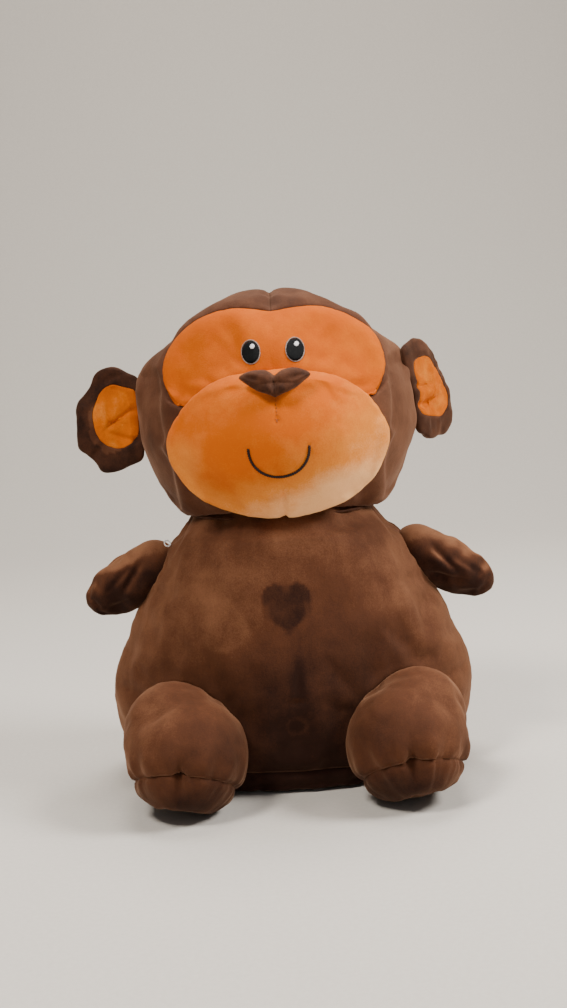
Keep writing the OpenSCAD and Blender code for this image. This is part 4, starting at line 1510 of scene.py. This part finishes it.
# Painted shade: the cloth under the chin and the neck band are darkened, as they lie in the shade under the
# head.
CHIN_PAINTED_SHADE = 0.5
NECK_BAND_PAINTED_SHADE = 0.6


def make_chin():
    """The strip of the head's cloth that runs in under the chin to meet the muzzle's seam."""
    around = np.linspace(*CHIN_ENDS, 91)
    across = np.linspace(-0.3, 1.2, 9)
    rim = muzzle_front(around, 1 + 0 * around)
    edge = on_face(muzzle_edge(around))
    rows = [lerp(rim, edge, t) + CHIN_SET for t in across]
    faces = [(a, d, c, b) for a, b, c, d in grid_faces(len(across), len(around))]
    piece = mesh_piece("chin_cloth", np.concatenate(rows), faces)
    # The strip is painted darker all over: painted shade.
    paint_nap_and_shade(piece, [CHIN_PAINTED_SHADE] * (len(around) * len(across)))
    return piece


def make_neck_band():
    """The roll of cloth in the neck seam, puckered by its gathers."""
    low, high = box_mm("neck_seam")
    around = np.linspace(0, 2 * math.pi, 241)[:-1, None, None]
    b = np.linspace(0, 2 * math.pi, 13)[:-1, None]
    thick = 0.95 + 0.2 * np.sin(around * 46) + 0.15 * np.sin(around * 17 + 1)
    way = np.concatenate([np.cos(around), np.sin(around), 0 * around], -1)
    points = (low + high) / 2 + way * ((high - low) / 2 - SEAM_THREAD_R) * [1, 1, 0]
    points = points + thick * (np.cos(b) * way + np.sin(b) * [0, 0, 1])
    piece = mesh_piece("neck_band", points.reshape(-1, 3), grid_faces(len(around), len(b), ring=True))
    # The band is painted darker all over: painted shade.
    paint_nap_and_shade(piece, [NECK_BAND_PAINTED_SHADE] * points[..., 0].size)
    return piece


# ---- Putting it together --------------------------------------------------------------


def fit(piece, material, body, nodes=()):
    piece.data.materials.clear()
    piece.data.materials.append(material)
    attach(piece, body)
    if nodes:
        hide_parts(*nodes)
    return piece


torso = make_torso()
fit(torso["belly_cloth"], BROWN, "torso", ["belly_panel", "body_stuffing"])
fit(torso["left_back_cloth"], BROWN, "torso", ["left_back_panel"])
fit(torso["right_back_cloth"], BROWN, "torso", ["right_back_panel"])
fit(torso["base_cloth"], BROWN, "torso", ["base_panel"])

head = make_head()
fit(head["left_head_cloth"], HEAD_BROWN, "head", ["left_head_panel", "head_stuffing"])
fit(head["right_head_cloth"], HEAD_BROWN, "head", ["right_head_panel"])
fit(head["mask_cloth"], ORANGE, "head", ["face_mask"])

muzzle = make_muzzle()
fit(muzzle["muzzle_cloth"], PEACH, "head", ["muzzle_cover", "muzzle_stuffing"])

mask_front = Relief(head["mask_cloth"], lambda p: face_y(p[..., 0], p[..., 1]))
muzzle_front_cloth = Relief(muzzle["muzzle_cloth"], front_y)

nose = make_nose()
fit(nose["nose_cloth"], HEAD_BROWN, "head", ["nose_cover", "nose_stuffing"])

# Each limb's panels: material, slot, the CAD nodes they stand for, and how full they are.
LIMBS = {
    "ear": (make_ear, [
        ("ear_patch", EAR_ORANGE, "ear_patch_velvet", ["ear_patch"], 0.5),
        ("ear_rim", HEAD_BROWN, "brown_velvet", ["ear_rim"], 0.5),
        ("ear_back", HEAD_BROWN, "brown_velvet", ["ear_back", "ear_wadding"], 0.5),
    ]),
    "arm": (make_arm, [
        ("arm_front", BROWN, "brown_velvet", ["arm_front", "arm_stuffing"], 0.7),
        ("arm_back", BROWN, "brown_velvet", ["arm_back"], 0.7),
    ]),
    "leg": (make_leg, [
        ("leg", BROWN, "brown_velvet", ["leg_cover", "leg_stuffing"], 0.85),
        ("sole", BROWN, "dark_velvet", ["sole_panel"], 0.85),
    ]),
}

for side, name in ((1, "left"), (-1, "right")):
    for limb, (make, panels) in LIMBS.items():
        made = make(side, name)
        for panel, material, slot, nodes, fill in panels:
            nodes = [f"{name}_{node}" for node in nodes]
            fit(made[f"{name}_{panel}_cloth"], material, f"{name}_{limb}", nodes)

    centre = EYE * [side, 1]
    eye = satin(name + "_eye_satin", mask_front, centre, EYE_SIZE, 0.7, 1.6)
    fit(eye, BLACK_THREAD, "head", [name + "_eye"])
    outline = ring_stitch(name + "_eye_outline", mask_front, centre, EYE_SIZE + 0.35, 0.35, 0.5)
    fit(outline, PALE_THREAD, "head")
    glint = satin(name + "_glint_satin", mask_front, centre + GLINT, GLINT_SIZE, 1.9, 2.3)
    fit(glint, WHITE_THREAD, "head", [name + "_eye_glint"])

fit(make_mouth(muzzle_front_cloth), MOUTH_THREAD, "head", ["mouth_stitch"])
fit(make_philtrum(muzzle_front_cloth), RUST_THREAD, "head", ["philtrum_stitch"])

fit(make_chin(), HEAD_BROWN, "head")
fit(make_neck_band(), BROWN, "neck", ["neck_seam"])

SEWN = ["left_shoulder_seam", "right_shoulder_seam", "left_hip_seam", "right_hip_seam", "closing_stitches"]
carried_over = dict.fromkeys(SEWN, SEAM_THREAD)
carried_over.update(tag_loop=fastener_material(), care_label=ribbon_material())
for node, material in carried_over.items():
    mesh = frame["nodes"][node].data
    mesh.materials.clear()
    mesh.materials.append(material)

# ---- Studio ---------------------------------------------------------------------------


def soft_light(name, place, target, size, watts, colour):
    data = bpy.data.lights.new(name, "AREA")
    data.shape = "DISK"
    data.size = size
    data.energy = watts
    data.color = colour
    light = link_new(name, data)
    light.location = place
    light.rotation_euler = (Vector(target) - Vector(place)).to_track_quat("-Z", "Y").to_euler()


def backdrop():
    """A floor that curves up into a wall well behind the monkey, in millimetres."""
    half, front, bend, wall, height = 5000, -4000, 1200, 2400, 4000
    turn = np.linspace(0, math.pi / 2, 17)
    rise = wall - bend
    section = [(front, 0)]
    section += [(bend + rise * math.sin(t), rise * (1 - math.cos(t))) for t in turn]
    section += [(wall, height)]
    points = [(x, y, z) for y, z in section for x in (-half, half)]
    faces = [(2 * k, 2 * k + 1, 2 * k + 3, 2 * k + 2) for k in range(len(section) - 1)]
    return points, faces


# Each light's place, diameter, watts and colour. All but the wall's point at the monkey.
LIGHTS = {
    "key": ((-0.75, -0.95, 1.75), 0.55, 35, (1, 0.95, 0.88)),
    "right": ((1.25, -0.35, 1.25), 0.6, 36, (1, 0.97, 0.93)),
    "top": ((0.1, 0.35, 1.9), 1.0, 24, (1, 0.97, 0.93)),
    "wall": ((0.0, 0.9, 2.6), 1.6, 34, (1, 0.95, 0.88)),
    "fill": ((0.2, -1.9, 0.9), 1.6, 3, (0.97, 0.98, 1)),
}
WALL_SPOT = (0, 2.3, 0.7)
SKY = (0.80, 0.79, 0.77, 1)
SKY_STRENGTH = 0.12


def studio():
    low, high = cad_box
    middle = (low + high) / 2
    floor = mesh_piece("studio_floor", *backdrop())
    floor.data.materials.append(floor_material())
    for name, (place, size, watts, colour) in LIGHTS.items():
        soft_light(name, place, WALL_SPOT if name == "wall" else middle, size, watts, colour)
    world = bpy.data.worlds.new("studio")
    bpy.context.scene.world = world
    world.use_nodes = True
    sky = world.node_tree.nodes["Background"]
    sky.inputs["Color"].default_value = SKY
    sky.inputs["Strength"].default_value = SKY_STRENGTH


studio()
